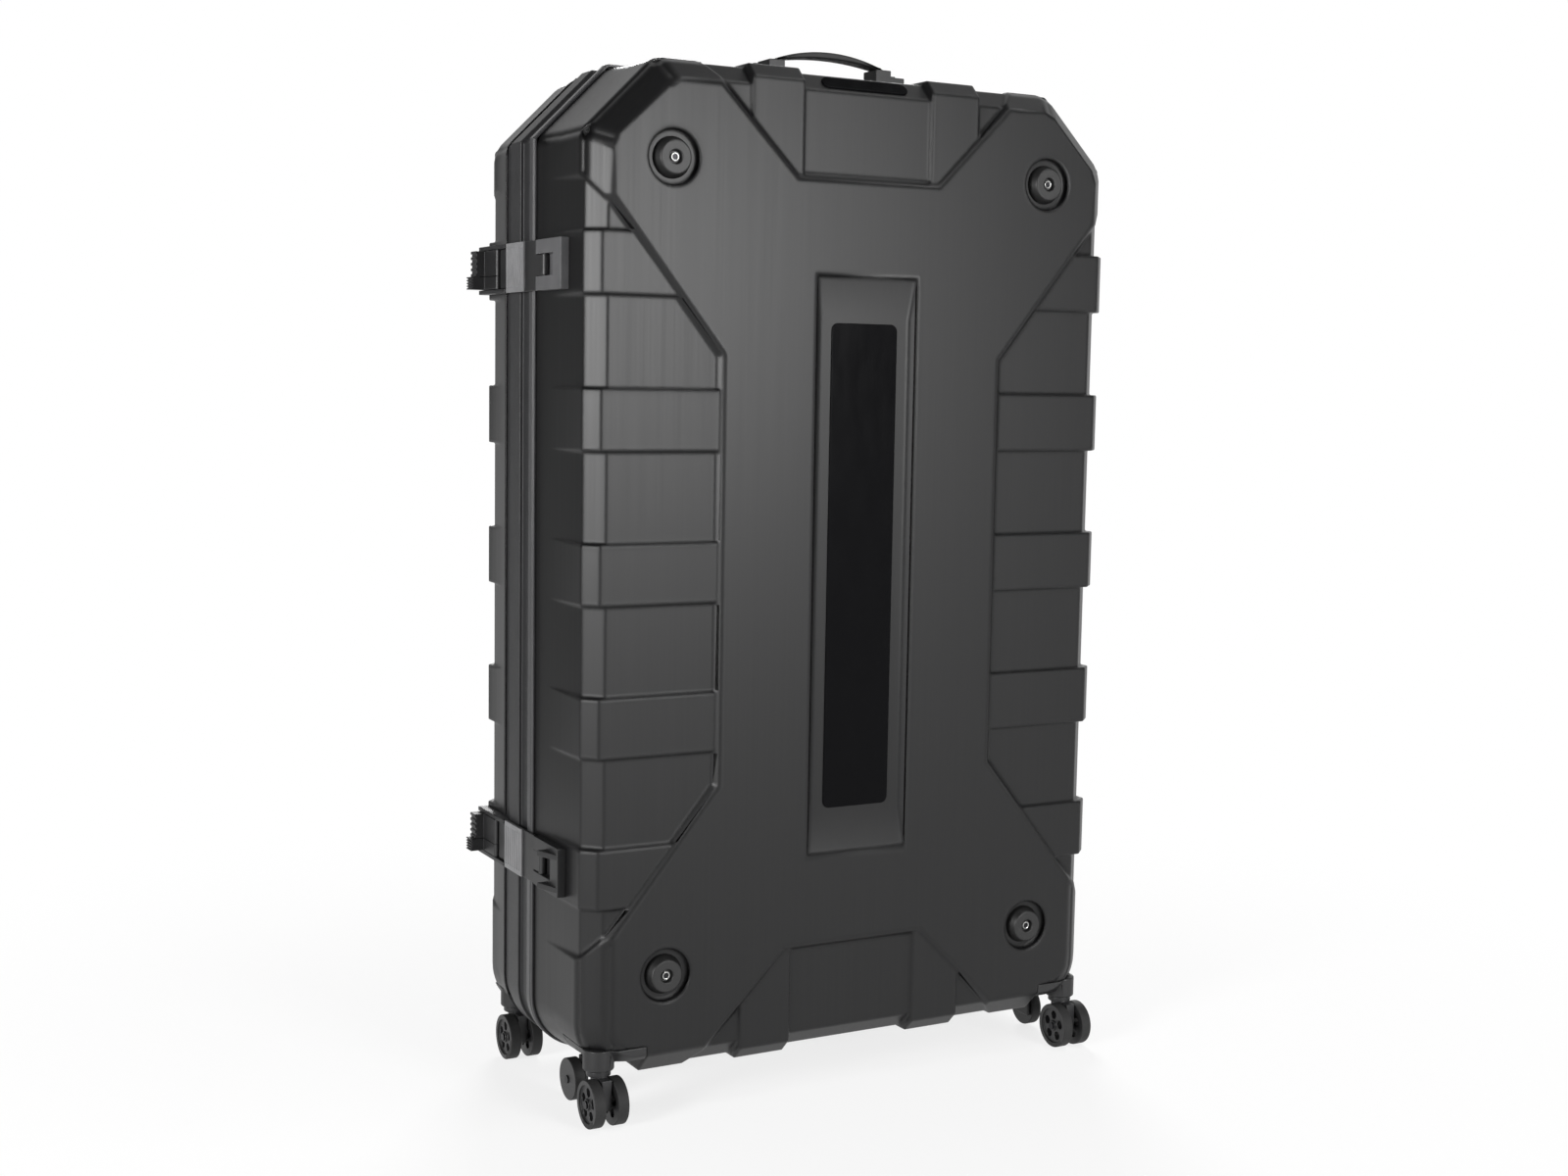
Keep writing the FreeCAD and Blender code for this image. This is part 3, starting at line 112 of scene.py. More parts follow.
def white_paper(name):
    """Paper that looks plain white, but near the case leaves a share of its look to the lamps."""
    material = bpy.data.materials.new(name)
    material.use_nodes = True
    tree = material.node_tree
    tree.nodes.clear()
    paper = tree.nodes.new("ShaderNodeBsdfDiffuse")
    white = tree.nodes.new("ShaderNodeEmission")
    paper.inputs["Color"].default_value = (1, 1, 1, 1)
    place = tree.nodes.new("ShaderNodeTexCoord")
    distance = tree.nodes.new("ShaderNodeVectorMath")
    distance.operation = "LENGTH"
    tree.links.new(place.outputs["Object"], distance.inputs[0])
    fade = tree.nodes.new("ShaderNodeMapRange")
    fade.interpolation_type = "SMOOTHSTEP"
    fade.inputs["From Min"].default_value = SHADOW_START
    fade.inputs["From Max"].default_value = SHADOW_REACH
    fade.inputs["To Min"].default_value = 1 - SHADOW_SHARE
    fade.inputs["To Max"].default_value = 1
    tree.links.new(distance.outputs["Value"], fade.inputs["Value"])
    share = tree.nodes.new("ShaderNodeMath")
    share.operation = "MULTIPLY"
    tree.links.new(seen_plainly(tree), share.inputs[0])
    tree.links.new(fade.outputs["Result"], share.inputs[1])
    mix = tree.nodes.new("ShaderNodeMixShader")
    tree.links.new(share.outputs[0], mix.inputs[0])
    tree.links.new(paper.outputs[0], mix.inputs[1])
    tree.links.new(white.outputs[0], mix.inputs[2])
    output = tree.nodes.new("ShaderNodeOutputMaterial")
    tree.links.new(mix.outputs[0], output.inputs["Surface"])
    return material


def stage_sheet(name, reach, turn, material):
    """A flat square that stands in the studio and isn't part of the case."""
    bm = bmesh.new()
    bmesh.ops.create_grid(bm, x_segments=1, y_segments=1, size=reach)
    bmesh.ops.transform(bm, matrix=turn, verts=bm.verts)
    mesh = bpy.data.meshes.new(name)
    bm.to_mesh(mesh)
    bm.free()
    mesh.materials.append(material)
    sheet = bpy.data.objects.new(name, mesh)
    scene.collection.objects.link(sheet)
    return sheet


# %% Floor and backdrop
FLOOR_REACH = 60
BACKDROP_REACH = 12
BACKDROP_PLACE = (8.64, 1.94, 0)

stage_sheet("floor", FLOOR_REACH, Matrix.Identity(4), white_paper("floor_paper"))
upright = Matrix.Rotation(QUARTER_TURN, 4, "X")
behind = Matrix.Translation(BACKDROP_PLACE) @ pan @ upright
stage_sheet("backdrop", BACKDROP_REACH, behind, white_paper("backdrop_paper"))
print("a floor of", 2 * FLOOR_REACH, "m and a backdrop of", 2 * BACKDROP_REACH, "m")

# %% [markdown]
# ### Flag and room
# Photographers of black goods stand a dark card, called a flag, beside the picture, so that a satin
# side has something dark to reflect. Here only reflections see that card. The room beyond the paper is
# dark for the same reason.

# %% Flag and room
FLAG_REACH = 0.8
FLAG_PLACE = (-1.65, 1.35, 0.8)
ROOM_GREY = 0.035

card = bpy.data.materials.new("black_card")
card.use_nodes = True
card.node_tree.nodes["Principled BSDF"].inputs["Base Color"].default_value = (0.006, 0.006, 0.006, 1)
flag = stage_sheet("flag", FLAG_REACH, Matrix.Translation(FLAG_PLACE) @ upright, card)
for ray in ("camera", "diffuse", "transmission", "shadow", "volume_scatter"):
    setattr(flag, "visible_" + ray, False)

world = bpy.data.worlds.new("studio")
scene.world = world
world.use_nodes = True
room = world.node_tree.nodes["Background"]
room.inputs["Color"].default_value = (1, 1, 1, 1)
room.inputs["Strength"].default_value = ROOM_GREY
scene.view_settings.view_transform = "Standard"
print("the flag stands in a room with a light of", ROOM_GREY)

# %% [markdown]
# ### Lamps
# Satin black shows lamps rather than colour, so each soft box is placed where a face mirrors it toward
# the camera: one in front for the panel's upper half, one on the left for the bevel, and one overhead
# for the top edges. A fourth one, behind the case, shows its back and right side in other views.

# %% Soft boxes
def soft_box(name, place, target, width, height, power):
    """A rectangular area lamp that faces a target point."""
    lamp = bpy.data.lights.new(name, "AREA")
    lamp.shape = "RECTANGLE"
    lamp.size, lamp.size_y = width, height
    lamp.energy = power
    holder = bpy.data.objects.new(name, lamp)
    aim = (Vector(target) - Vector(place)).to_track_quat("-Z", "Y")
    holder.matrix_world = Matrix.Translation(place) @ aim.to_matrix().to_4x4()
    scene.collection.objects.link(holder)
    return holder


soft_box("panel_box", (1.05, -4.0, 1.3), (-0.2, 0, 1.0), 1.2, 0.9, 115)
soft_box("bevel_box", (-3.5, -1.4, 1.25), (-0.4, 0, 1.0), 1.0, 1.2, 125)
soft_box("top_box", (0.9, -1.0, 3.4), (0, 0, 0.9), 1.2, 0.8, 18)
soft_box("back_box", (1.6, 3.2, 2.2), (0.1, 0.15, 0.7), 1.4, 1.0, 110).visible_camera = False
print(len(bpy.data.lights), "soft boxes placed")

# %% [markdown]
# ## Finishes
# Every finish is a Principled shader whose colour, roughness and relief vary with a pattern on Object
# coordinates, so that it keeps its true scale on every piece. Four small helpers make the patterns:
# a stretched noise, a range of numbers, a range of colours and a relief.

# %% Helpers for finishes
PATTERN_MIDDLE = (0.3, 0.7)
SOFT_SAMPLES = 6


def plain_finish(name, colour, roughness, metallic=0.0):
    """A material with one Principled shader, ready for patterns."""
    material = bpy.data.materials.new(name)
    material.use_nodes = True
    shader = material.node_tree.nodes["Principled BSDF"]
    shader.inputs["Base Color"].default_value = (*colour, 1)
    shader.inputs["Roughness"].default_value = roughness
    shader.inputs["Metallic"].default_value = metallic
    return material, material.node_tree, shader


def grain(tree, per_metre, detail=3.0):
    """Noise with that many grains per metre along X, Y and Z."""
    place = tree.nodes.new("ShaderNodeTexCoord")
    stretch = tree.nodes.new("ShaderNodeMapping")
    stretch.inputs["Scale"].default_value = per_metre
    noise = tree.nodes.new("ShaderNodeTexNoise")
    noise.inputs["Scale"].default_value = 1.0
    noise.inputs["Detail"].default_value = detail
    tree.links.new(place.outputs["Object"], stretch.inputs["Vector"])
    tree.links.new(stretch.outputs["Vector"], noise.inputs["Vector"])
    return noise.outputs["Fac"]


def vary(tree, pattern, low, high, socket):
    """Drives a number socket from low to high across the middle of a pattern."""
    span = tree.nodes.new("ShaderNodeMapRange")
    span.inputs["From Min"].default_value, span.inputs["From Max"].default_value = PATTERN_MIDDLE
    span.inputs["To Min"].default_value = low
    span.inputs["To Max"].default_value = high
    tree.links.new(pattern, span.inputs["Value"])
    tree.links.new(span.outputs["Result"], socket)


def tint(tree, pattern, dark, light, socket):
    """Drives a colour socket from dark to light across the middle of a pattern."""
    ramp = tree.nodes.new("ShaderNodeValToRGB")
    first, last = ramp.color_ramp.elements
    first.position, last.position = PATTERN_MIDDLE
    first.color, last.color = (*dark, 1), (*light, 1)
    tree.links.new(pattern, ramp.inputs["Fac"])
    tree.links.new(ramp.outputs["Color"], socket)


def relief(tree, shader, pattern, height, strength=1.0, softness=0.0):
    """Bumps the surface by a pattern, with its height in metres, and may soften its edges first."""
    bump = tree.nodes.new("ShaderNodeBump")
    if softness:
        soft = tree.nodes.new("ShaderNodeBevel")
        soft.samples = SOFT_SAMPLES
        soft.inputs["Radius"].default_value = softness
        tree.links.new(soft.outputs["Normal"], bump.inputs["Normal"])
    bump.inputs["Distance"].default_value = height
    bump.inputs["Strength"].default_value = strength
    tree.links.new(pattern, bump.inputs["Height"])
    tree.links.new(bump.outputs["Normal"], shader.inputs["Normal"])


# %% [markdown]
# ### Satin shell
# The shells are thick black sheet, drawn over a mould. The photograph shows a satin face with very
# faint upright streaks, so the main pattern is a noise squeezed along X and Y and stretched along Z. A
# second noise lets the gloss drift a little. Drawn sheet also rounds every step that it is pulled
# over, so the relief starts from a softened edge.

# %% Shell finish
EDGE_SOFTNESS = 0.006
shell_satin, tree, shader = plain_finish("shell_satin", (0.006, 0.006, 0.0063), 0.4)
shader.inputs["Specular IOR Level"].default_value = 0.34
streaks = grain(tree, (420, 420, 3), 4)
tint(tree, streaks, (0.0052, 0.0052, 0.0055), (0.0068, 0.0068, 0.0071), shader.inputs["Base Color"])
vary(tree, grain(tree, (300, 300, 2), 3), 0.39, 0.42, shader.inputs["Roughness"])
relief(tree, shader, streaks, 0.00002, 0.3, EDGE_SOFTNESS)
print(shell_satin.name, "has", len(tree.nodes), "nodes")

# %% [markdown]
# ### Moulded plastics
# The rim, latches, forks and brackets are injection moulded, with the fine even grain that such
# moulds leave. They differ in colour and in how coarse the grain is, so one function makes them all.

# %% Moulded finishes
DRIFT_PER_METRE = 35
COLOUR_DRIFT = 0.12
GLOSS_DRIFT = 0.06
GRAIN_STRENGTH = 0.6


def moulded(name, colour, roughness, per_metre, height):
    """Grained plastic: colour and gloss drift a little, and the grain stands up by a height."""
    material, tree, shader = plain_finish(name, colour, roughness)
    fine = grain(tree, (per_metre,) * 3)
    coarse = grain(tree, (DRIFT_PER_METRE,) * 3)
    dark = [(1 - COLOUR_DRIFT) * part for part in colour]
    light = [(1 + COLOUR_DRIFT) * part for part in colour]
    tint(tree, coarse, dark, light, shader.inputs["Base Color"])
    vary(tree, fine, roughness - GLOSS_DRIFT, roughness + GLOSS_DRIFT, shader.inputs["Roughness"])
    relief(tree, shader, fine, height, GRAIN_STRENGTH)
    return material


rim_grey = moulded("rim_grey", (0.04, 0.04, 0.042), 0.4, 900, 0.00005)
frame_black = moulded("frame_black", (0.018, 0.018, 0.019), 0.5, 900, 0.00005)
# Latch black is the latches' own colour, and it also paints shade on the lower latch plate; the anchor grey
# below paints light on the upper plate, which is the same part.
latch_black_and_anchor_shade = moulded("latch_black_and_anchor_shade", (0.011, 0.011, 0.0115), 0.46, 1400, 0.00008)
anchor_grey_painted_light = moulded("anchor_grey_painted_light", (0.085, 0.085, 0.088), 0.5, 1400, 0.00008)
strap_grey = moulded("strap_grey", (0.17, 0.17, 0.174), 0.45, 1100, 0.00004)
handle_black = moulded("handle_black", (0.01, 0.01, 0.0105), 0.45, 1200, 0.00006)
bracket_black = moulded("bracket_black", (0.01, 0.01, 0.0105), 0.48, 900, 0.00006)
fork_grey = moulded("fork_grey", (0.014, 0.014, 0.015), 0.46, 900, 0.00006)
hub_black = moulded("hub_black", (0.012, 0.012, 0.0125), 0.46, 1000, 0.00005)
rubber_black = moulded("rubber_black", (0.008, 0.008, 0.008), 0.5, 1600, 0.00006)
grip_rubber = moulded("grip_rubber", (0.01, 0.01, 0.01), 0.6, 1500, 0.0001)
tyre_black = moulded("tyre_black", (0.009, 0.009, 0.009), 0.7, 1300, 0.0001)
hinge_paint = moulded("hinge_paint", (0.02, 0.02, 0.021), 0.5, 1800, 0.00008)
print(len(bpy.data.materials), "materials with the plastics")

# %% [markdown]
# ### Gloss plate and steel
# The long plate in the pocket is polished black, with only a faint drift in its gloss from
# handling. The bumper screws and nuts are bright steel with fine turning marks, and the pins of the
# latches, hinges and casters are the same steel, blackened.

# %% Gloss and steel finishes
gloss_black, tree, shader = plain_finish("gloss_black", (0.0045, 0.0045, 0.005), 0.2)
shader.inputs["Specular IOR Level"].default_value = 0.03
vary(tree, grain(tree, (60, 60, 18), 5), 0.16, 0.26, shader.inputs["Roughness"])

bright_steel, tree, shader = plain_finish("bright_steel", (0.36, 0.36, 0.355), 0.34, 1.0)
turning = grain(tree, (900, 4000, 900), 2)
tint(tree, turning, (0.42, 0.42, 0.41), (0.58, 0.58, 0.57), shader.inputs["Base Color"])
vary(tree, turning, 0.24, 0.38, shader.inputs["Roughness"])

# This blackened steel is the pins' own finish, and in the bumper screws' sockets it paints shade.
blued_steel_and_socket_shade, tree, shader = plain_finish("blued_steel_and_socket_shade", (0.03, 0.03, 0.032), 0.4, 1.0)
turning = grain(tree, (4000, 900, 900), 2)
tint(tree, turning, (0.022, 0.022, 0.024), (0.04, 0.04, 0.042), shader.inputs["Base Color"])
vary(tree, turning, 0.34, 0.48, shader.inputs["Roughness"])
print(len(bpy.data.materials), "materials with the gloss plate and the steels")

# %% [markdown]
# ### Knitted cloth and webbing
# The foam pads inside are covered in a fine black knit, and the tie straps are woven tape. A knit
# shows as small staggered cells, so a Voronoi pattern suits it. Tape has fine straight ribs, which a
# wave gives. The straps are sewn with a grey thread.

# %% Cloth finishes
pad_knit, tree, shader = plain_finish("pad_knit", (0.03, 0.03, 0.032), 0.9)
shader.inputs["Sheen Weight"].default_value = 0.3
shader.inputs["Sheen Roughness"].default_value = 0.5
place = tree.nodes.new("ShaderNodeTexCoord")
cells = tree.nodes.new("ShaderNodeTexVoronoi")
cells.inputs["Scale"].default_value = 480
tree.links.new(place.outputs["Object"], cells.inputs["Vector"])
tint(tree, cells.outputs["Distance"], (0.085, 0.085, 0.089), (0.03, 0.03, 0.032), shader.inputs["Base Color"])
relief(tree, shader, cells.outputs["Distance"], 0.0004, 0.6)

webbing_black, tree, shader = plain_finish("webbing_black", (0.02, 0.02, 0.021), 0.75)
place = tree.nodes.new("ShaderNodeTexCoord")
ribs = tree.nodes.new("ShaderNodeTexWave")
ribs.bands_direction = "DIAGONAL"
ribs.inputs["Scale"].default_value = 260
ribs.inputs["Distortion"].default_value = 0.4
tree.links.new(place.outputs["Object"], ribs.inputs["Vector"])
tint(tree, ribs.outputs["Fac"], (0.012, 0.012, 0.013), (0.032, 0.032, 0.034), shader.inputs["Base Color"])
relief(tree, shader, ribs.outputs["Fac"], 0.0003, 0.7)

thread_grey, tree, shader = plain_finish("thread_grey", (0.11, 0.11, 0.115), 0.6)
relief(tree, shader, grain(tree, (2600, 2600, 2600)), 0.0001)
print(len(bpy.data.materials), "materials ready")

# %% [markdown]
# ## Rounding the moulded edges
# No moulded edge is sharp, and on satin black the rounded edges are what catches the light. The solid
# model has crisp edges, so each visible solid is copied, its loose triangles are merged into clean
# faces, and its sharp edges are bevelled. The raised panel on each shell has deeper steps, so its
# rim is first given a larger round.

# %% Helpers for rounded copies
FLAT = math.radians(1)
SHARP = math.radians(20)
SAME_POINT = 1e-6
ROUND_MARK = 1
ROUND_SEGMENTS = 3


def merged_copy(node):
    """A bmesh of a node with its triangles joined into flat faces."""
    bm = bmesh.new()
    bm.from_mesh(nodes[node].data)
    bmesh.ops.remove_doubles(bm, verts=bm.verts, dist=SAME_POINT)
    bmesh.ops.dissolve_limit(bm, angle_limit=FLAT, verts=bm.verts, edges=bm.edges, delimit=set())
    return bm


def sharp_edges(bm):
    """Edges between two faces that meet at a clear angle, apart from those inside an earlier round."""
    return [
        edge
        for edge in bm.edges
        if edge.is_manifold
        and edge.calc_face_angle(0) > SHARP
        and not all(face.material_index == ROUND_MARK for face in edge.link_faces)
    ]


def round_edges(bm, edges, width, segments=ROUND_SEGMENTS):
    """Bevels edges by a width on each side, and marks the new faces."""
    made = bmesh.ops.bevel(
        bm, geom=edges, offset=width, offset_type="OFFSET", segments=segments, profile=0.5,
        affect="EDGES", material=-1, clamp_overlap=False, loop_slide=True,
    )
    for face in made["faces"]:
        face.material_index = ROUND_MARK


# %% [markdown]
# ### From mesh to piece
# A finished mesh becomes an object at the origin, shaded smooth, that moves with the body of its node.
# A piece that stands in for a node also evens out its normals by the size of the faces, so that large
# flat faces stay flat in the light beside narrow rounds. Some pieces take a second finish on a few faces.

# %% Helpers for pieces
LARGE_FACES_FIRST = 100
body_of = {node: body for body, members in frame["record"]["behaviour"]["bodies"].items() for node in members}


def finished(name, bm, material, node):
    """Turns a bmesh into a smooth piece with a finish, which rides with the body of a node."""
    mesh = bpy.data.meshes.new(name)
    bm.to_mesh(mesh)
    bm.free()
    mesh.materials.append(material)
    mesh.shade_smooth()
    piece = bpy.data.objects.new(name, mesh)
    scene.collection.objects.link(piece)
    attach(piece, body_of[node])
    return piece


def stand_in(node, bm, material, second=None, takes_second=None):
    """A piece in place of a node, with a second finish on the faces that a test picks."""
    for face in bm.faces:
        face.material_index = int(takes_second(face)) if second else 0
    piece = finished("moulded_" + node, bm, material, node)
    if second:
        piece.data.materials.append(second)
    even = piece.modifiers.new("even_normals", "WEIGHTED_NORMAL")
    even.keep_sharp = True
    even.weight = LARGE_FACES_FIRST
    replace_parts(piece, node)
    return piece


# %% [markdown]
# ### The two shells
# The corners are rounded most, as the sheet is drawn tight over them: the ends of the chamfers that cut
# off the top corners, and the bevel above each wheel. They come first, then the rim of the crossed
# panel, which lies in one plane, and then every other step, rib and corner. Faces that one pass has
# rounded are marked, so that a later pass leaves them.

# %% Corners of a shell
SAME_PLANE = 1e-4
LONG_EDGE = 0.02
# Seen from the front: X and Z of the two ends of a top chamfer, and how far its corner goes round them
CHAMFER_ENDS = ((0.3675, 1.1739), (0.2774, 1.264))
CORNER_REACH = 0.032
CORNER_LOW = 1.05
FOOT_TOP = 0.225
FOOT_SIDE = 0.327


def lies_at(edge, y):
    """True for an edge in the plane across Y at that place."""
    return all(abs(vert.co.y - y) < SAME_PLANE for vert in edge.verts)


def near_chamfer_end(point):
    """True for a point that is close, seen from the front, to an end of a top chamfer."""
    return any(math.hypot(abs(point.x) - x, point.z - z) < CORNER_REACH for x, z in CHAMFER_ENDS)


def is_corner_edge(edge, panel_y, bevel_y):
    """True for the outward edges of a corner: along a top chamfer's end, or along the bevel."""
    first, last = (vert.co for vert in edge.verts)
    if not edge.is_convex:
        return False
    ends_bevel = lies_at(edge, bevel_y)
    if max(first.z, last.z) < FOOT_TOP:
        along_bevel = lies_at(edge, panel_y) or ends_bevel
        return along_bevel and min(abs(first.x), abs(last.x)) > FOOT_SIDE
    if edge.calc_length() < LONG_EDGE or min(first.z, last.z) < CORNER_LOW:
        return False
    along_end = near_chamfer_end(first) and near_chamfer_end(last) and abs(first.y - last.y) > LONG_EDGE
    beside = max(abs(first.x), abs(last.x)) > CHAMFER_ENDS[1][0] - CORNER_REACH
    return along_end or ends_bevel and beside


# %% Shells
CORNER_ROUND = 0.012
PANEL_ROUND = 0.0042
STEP_ROUND = 0.0021
WIDE_SEGMENTS = 6
PANEL_BEVEL = 0.0275
CLOSE_POINTS = 1e-5


def rounded_shell(node, panel_y, inward):
    """A shell with large rounds at its corners, middling ones on its panel and small ones elsewhere."""
    bm = merged_copy(node)
    bevel_y = panel_y + inward * PANEL_BEVEL
    corner = [edge for edge in sharp_edges(bm) if is_corner_edge(edge, panel_y, bevel_y)]
    round_edges(bm, corner, CORNER_ROUND, WIDE_SEGMENTS)
    rim = [
        edge
        for edge in sharp_edges(bm)
        if edge.is_convex
        and (edge.calc_length() > LONG_EDGE or all(near_chamfer_end(vert.co) for vert in edge.verts))
        and lies_at(edge, panel_y)
    ]
    round_edges(bm, rim, PANEL_ROUND, WIDE_SEGMENTS)
    round_edges(bm, sharp_edges(bm), STEP_ROUND)
    bmesh.ops.remove_doubles(bm, verts=bm.verts, dist=CLOSE_POINTS)
    print(node, "has", len(corner), "corner and", len(rim), "panel edges, and now", len(bm.faces), "faces")
    return stand_in(node, bm, shell_satin)


rounded_shell("front_shell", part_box("front_shell")[0].y, 1)
rounded_shell("rear_shell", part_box("rear_shell")[1].y, -1)

# %% [markdown]
# ### Rims, bumpers, latches and casters
# The smaller pieces are rounded in the same way, each by what its mould would give. The list below
# pairs every piece with its finish and round, in millimetres. Pins and nuts are turned parts with
# crisp edges, so they keep their solids and only get a finish.

# %% Helper for small pieces
def rounded(node, width):
    """A bmesh of a node with all its sharp edges rounded."""
    bm = merged_copy(node)
    round_edges(bm, sharp_edges(bm), width)
    return bm


# %% Small moulded pieces
corners = [f"{end}_{hand}" for end in ("front", "rear") for hand in ("left", "right")]
ROUNDS = [
    (rim_grey, 1.0, ["front_rim"]),
    (frame_black, 1.2, ["centre_frame"]),
    (rubber_black, 0.6, ["rim_seal"]),
    (rubber_black, 1.6, ["front_bumpers", "rear_bumpers"]),
    (gloss_black, 0.7, ["name_plate", "top_badge"]),
    (hinge_paint, 0.7, ["lid_hinge_leaves", "base_hinge_leaves"]),
    (latch_black_and_anchor_shade, 0.8, ["latch_housings", "upper_strap_arm", "lower_strap_arm"]),
    (latch_black_and_anchor_shade, 0.5, ["upper_ratchet_lever", "lower_ratchet_lever"]),
    (latch_black_and_anchor_shade, 0.5, ["upper_release_lever", "lower_release_lever"]),
    (strap_grey, 0.3, ["upper_strap_band", "lower_strap_band"]),
    (handle_black, 0.9, ["top_handle_bases", "side_handle_bases"]),
    (grip_rubber, 2.4, ["top_handle_grip", "side_handle_grip"]),
    (bracket_black, 1.5, ["front_caster_brackets", "rear_caster_brackets"]),
    (fork_grey, 1.0, [f"{corner}_fork" for corner in corners]),
]
for material, round_mm, names in ROUNDS:
    for name in names:
        stand_in(name, rounded(name, round_mm / 1000), material)
print("rounded", sum(len(names) for _, _, names in ROUNDS), "pieces")

# %% Turned parts
TURNED = {
    bright_steel: ["front_bumper_nuts", "rear_bumper_nuts"],
    blued_steel_and_socket_shade: [
        "hinge_pins", "latch_anchor_pins", "latch_lever_pins", "top_handle_screws", "side_handle_screws",
        "roller_pins", *(f"{corner}_pins" for corner in corners),
    ],
}
for material, names in TURNED.items():
    for name in names:
        nodes[name].data.materials.clear()
        nodes[name].data.materials.append(material)
print("finished", sum(len(names) for names in TURNED.values()), "sets of turned parts")

# %% [markdown]
# ### Latch anchors
# The upper latch hooks to a plate coloured lighter than the lower one, though the two plates are alike: the
# upper plate's grey is painted light and the lower plate's black is painted shade. Both plates are one
# node, so the rounded copy takes two finishes, picked by height. The lower plate also has two wedges on
# its face, one above and one below its slot. Each is a block whose front end is squeezed down to the plate.

# %% Latch anchors
WEDGE_LENGTH = 0.036
WEDGE_HALF = 0.0035
WEDGE_RISE = 0.011
WEDGE_SEAT = 0.002
WEDGE_HEIGHTS = (0.0085, 0.0485)
WEDGE_START = 0.002
ANCHOR_ROUND = 0.0008


def block(bm, low, high):
    """Adds a plain block between two corners, and returns its points."""
    place = Matrix.Translation((low + high) / 2) @ Matrix.Diagonal((*(high - low), 1))
    return bmesh.ops.create_cube(bm, size=1, matrix=place)["verts"]


def anchor_wedge(bm, start):
    """Adds a wedge that rises outwards from a point of the plate's face towards the rear."""
    low = start - Vector((WEDGE_RISE, 0, WEDGE_HALF))
    high = start + Vector((WEDGE_SEAT, WEDGE_LENGTH, WEDGE_HALF))
    middle = (low + high) / 2
    front = [vert for vert in block(bm, low, high) if vert.co.y < middle.y and vert.co.x < middle.x]
    bmesh.ops.translate(bm, verts=front, vec=(WEDGE_RISE, 0, 0))


anchor_low, anchor_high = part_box("latch_anchors")
middle_z = (anchor_low.z + anchor_high.z) / 2
bm = merged_copy("latch_anchors")
for height in WEDGE_HEIGHTS:
    anchor_wedge(bm, anchor_low + Vector((0, WEDGE_START, height)))
round_edges(bm, sharp_edges(bm), ANCHOR_ROUND)
# The upper plate takes the grey as painted light, and the lower plate black as painted shade.
stand_in(
    "latch_anchors", bm, anchor_grey_painted_light, latch_black_and_anchor_shade,
    lambda face: face.calc_center_median().z < middle_z,
)
print("latch anchors part at a height of", round(middle_z, 3), "m")

# %% [markdown]
# ### Bumper screws
# A socket screw holds each bumper, and the photograph shows its bright ring round a dark socket. The
# head's flat end is inset once for the ring and once more, downwards, for the socket, whose faces take
# the darker steel as painted shade in the recess.

# %% Bumper screws
SCREW_ROUND = 0.0005
SOCKET_RING = 0.0012
SOCKET_DEPTH = 0.0016
SOCKET_TAPER = 0.0002
FACES_OUT = 0.99


def socket_screws(node, outward):
    """Screws whose outer ends get a socket, darkened with the blackened steel as painted shade."""
    bm = rounded(node, SCREW_ROUND)
    tip = max(vert.co.y * outward for vert in bm.verts)
    heads = [
        face
        for face in bm.faces
        if face.normal.y * outward > FACES_OUT
        and abs(face.calc_center_median().y * outward - tip) < SAME_PLANE
    ]
    bmesh.ops.inset_individual(bm, faces=heads, thickness=SOCKET_RING, depth=0)
    made = bmesh.ops.inset_individual(bm, faces=heads, thickness=SOCKET_TAPER, depth=-SOCKET_DEPTH)
    # The socket's faces take the darker steel as painted shade.
    socket = {*heads, *made["faces"]}
    print(node, "has", len(heads), "sockets, each of", round(1e6 * heads[0].calc_area(), 1), "mm2")
    return stand_in(node, bm, bright_steel, blued_steel_and_socket_shade, lambda face: face in socket)


socket_screws("front_bumper_screws", -1)
socket_screws("rear_bumper_screws", 1)

# %% [markdown]
# ### Wheels
# A caster wheel is a hard hub with spokes inside a soft tread. Both are one solid here, so the rounded
# copy takes two finishes, and each face gets the tread or the hub by its distance from the axle.

# %% Wheels
TREAD_START = 0.0223
WHEEL_ROUND = 0.0009


def wheel(node):
    """A rounded wheel with a soft tread round a hard hub."""
    low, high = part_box(node)
    axle = (low + high) / 2

    def in_hub(face):
        """True for a face nearer to the axle than the tread."""
        middle = face.calc_center_median()
        return math.hypot(middle.y - axle.y, middle.z - axle.z) < TREAD_START

    return stand_in(node, rounded(node, WHEEL_ROUND), tyre_black, hub_black, in_hub)


wheels = [f"{corner}_{side}_wheel" for corner in corners for side in ("outer", "inner")]
for name in [*wheels, "left_roller", "right_roller"]:
    wheel(name)
print(len(wheels), "caster wheels and two rollers")

# %% [markdown]
# ## Foam pads
# Each half of the case is lined with a thin foam pad in a knitted cover, sewn through in squares so
# that the foam stays in place. The fullness between the seams could be sculpted, but a cloth
# simulation with air pressure finds it by itself. A thinner copy of the pad is remeshed into even
# squares, its back and its seams are pinned, and the rest swells for a few frames. No point may move
# further than a cap, so the pad stays in the space that it has.

# %% Blank and seams of a pad
PAD_VOXEL = 0.006
PAD_START = 0.6
# How many sewn squares lie along X and along Z, by the axis's number
SQUARES = {0: 6, 2: 10}


def seam_distance(point, low, high):
    """How far a point is, seen from the front, from the nearest line of the sewn squares."""
    gaps = []
    for axis, count in SQUARES.items():
        pitch = (high[axis] - low[axis]) / count
        along = (point[axis] - low[axis]) / pitch
        gaps.append(abs(along - round(along)) * pitch)
    return min(gaps)


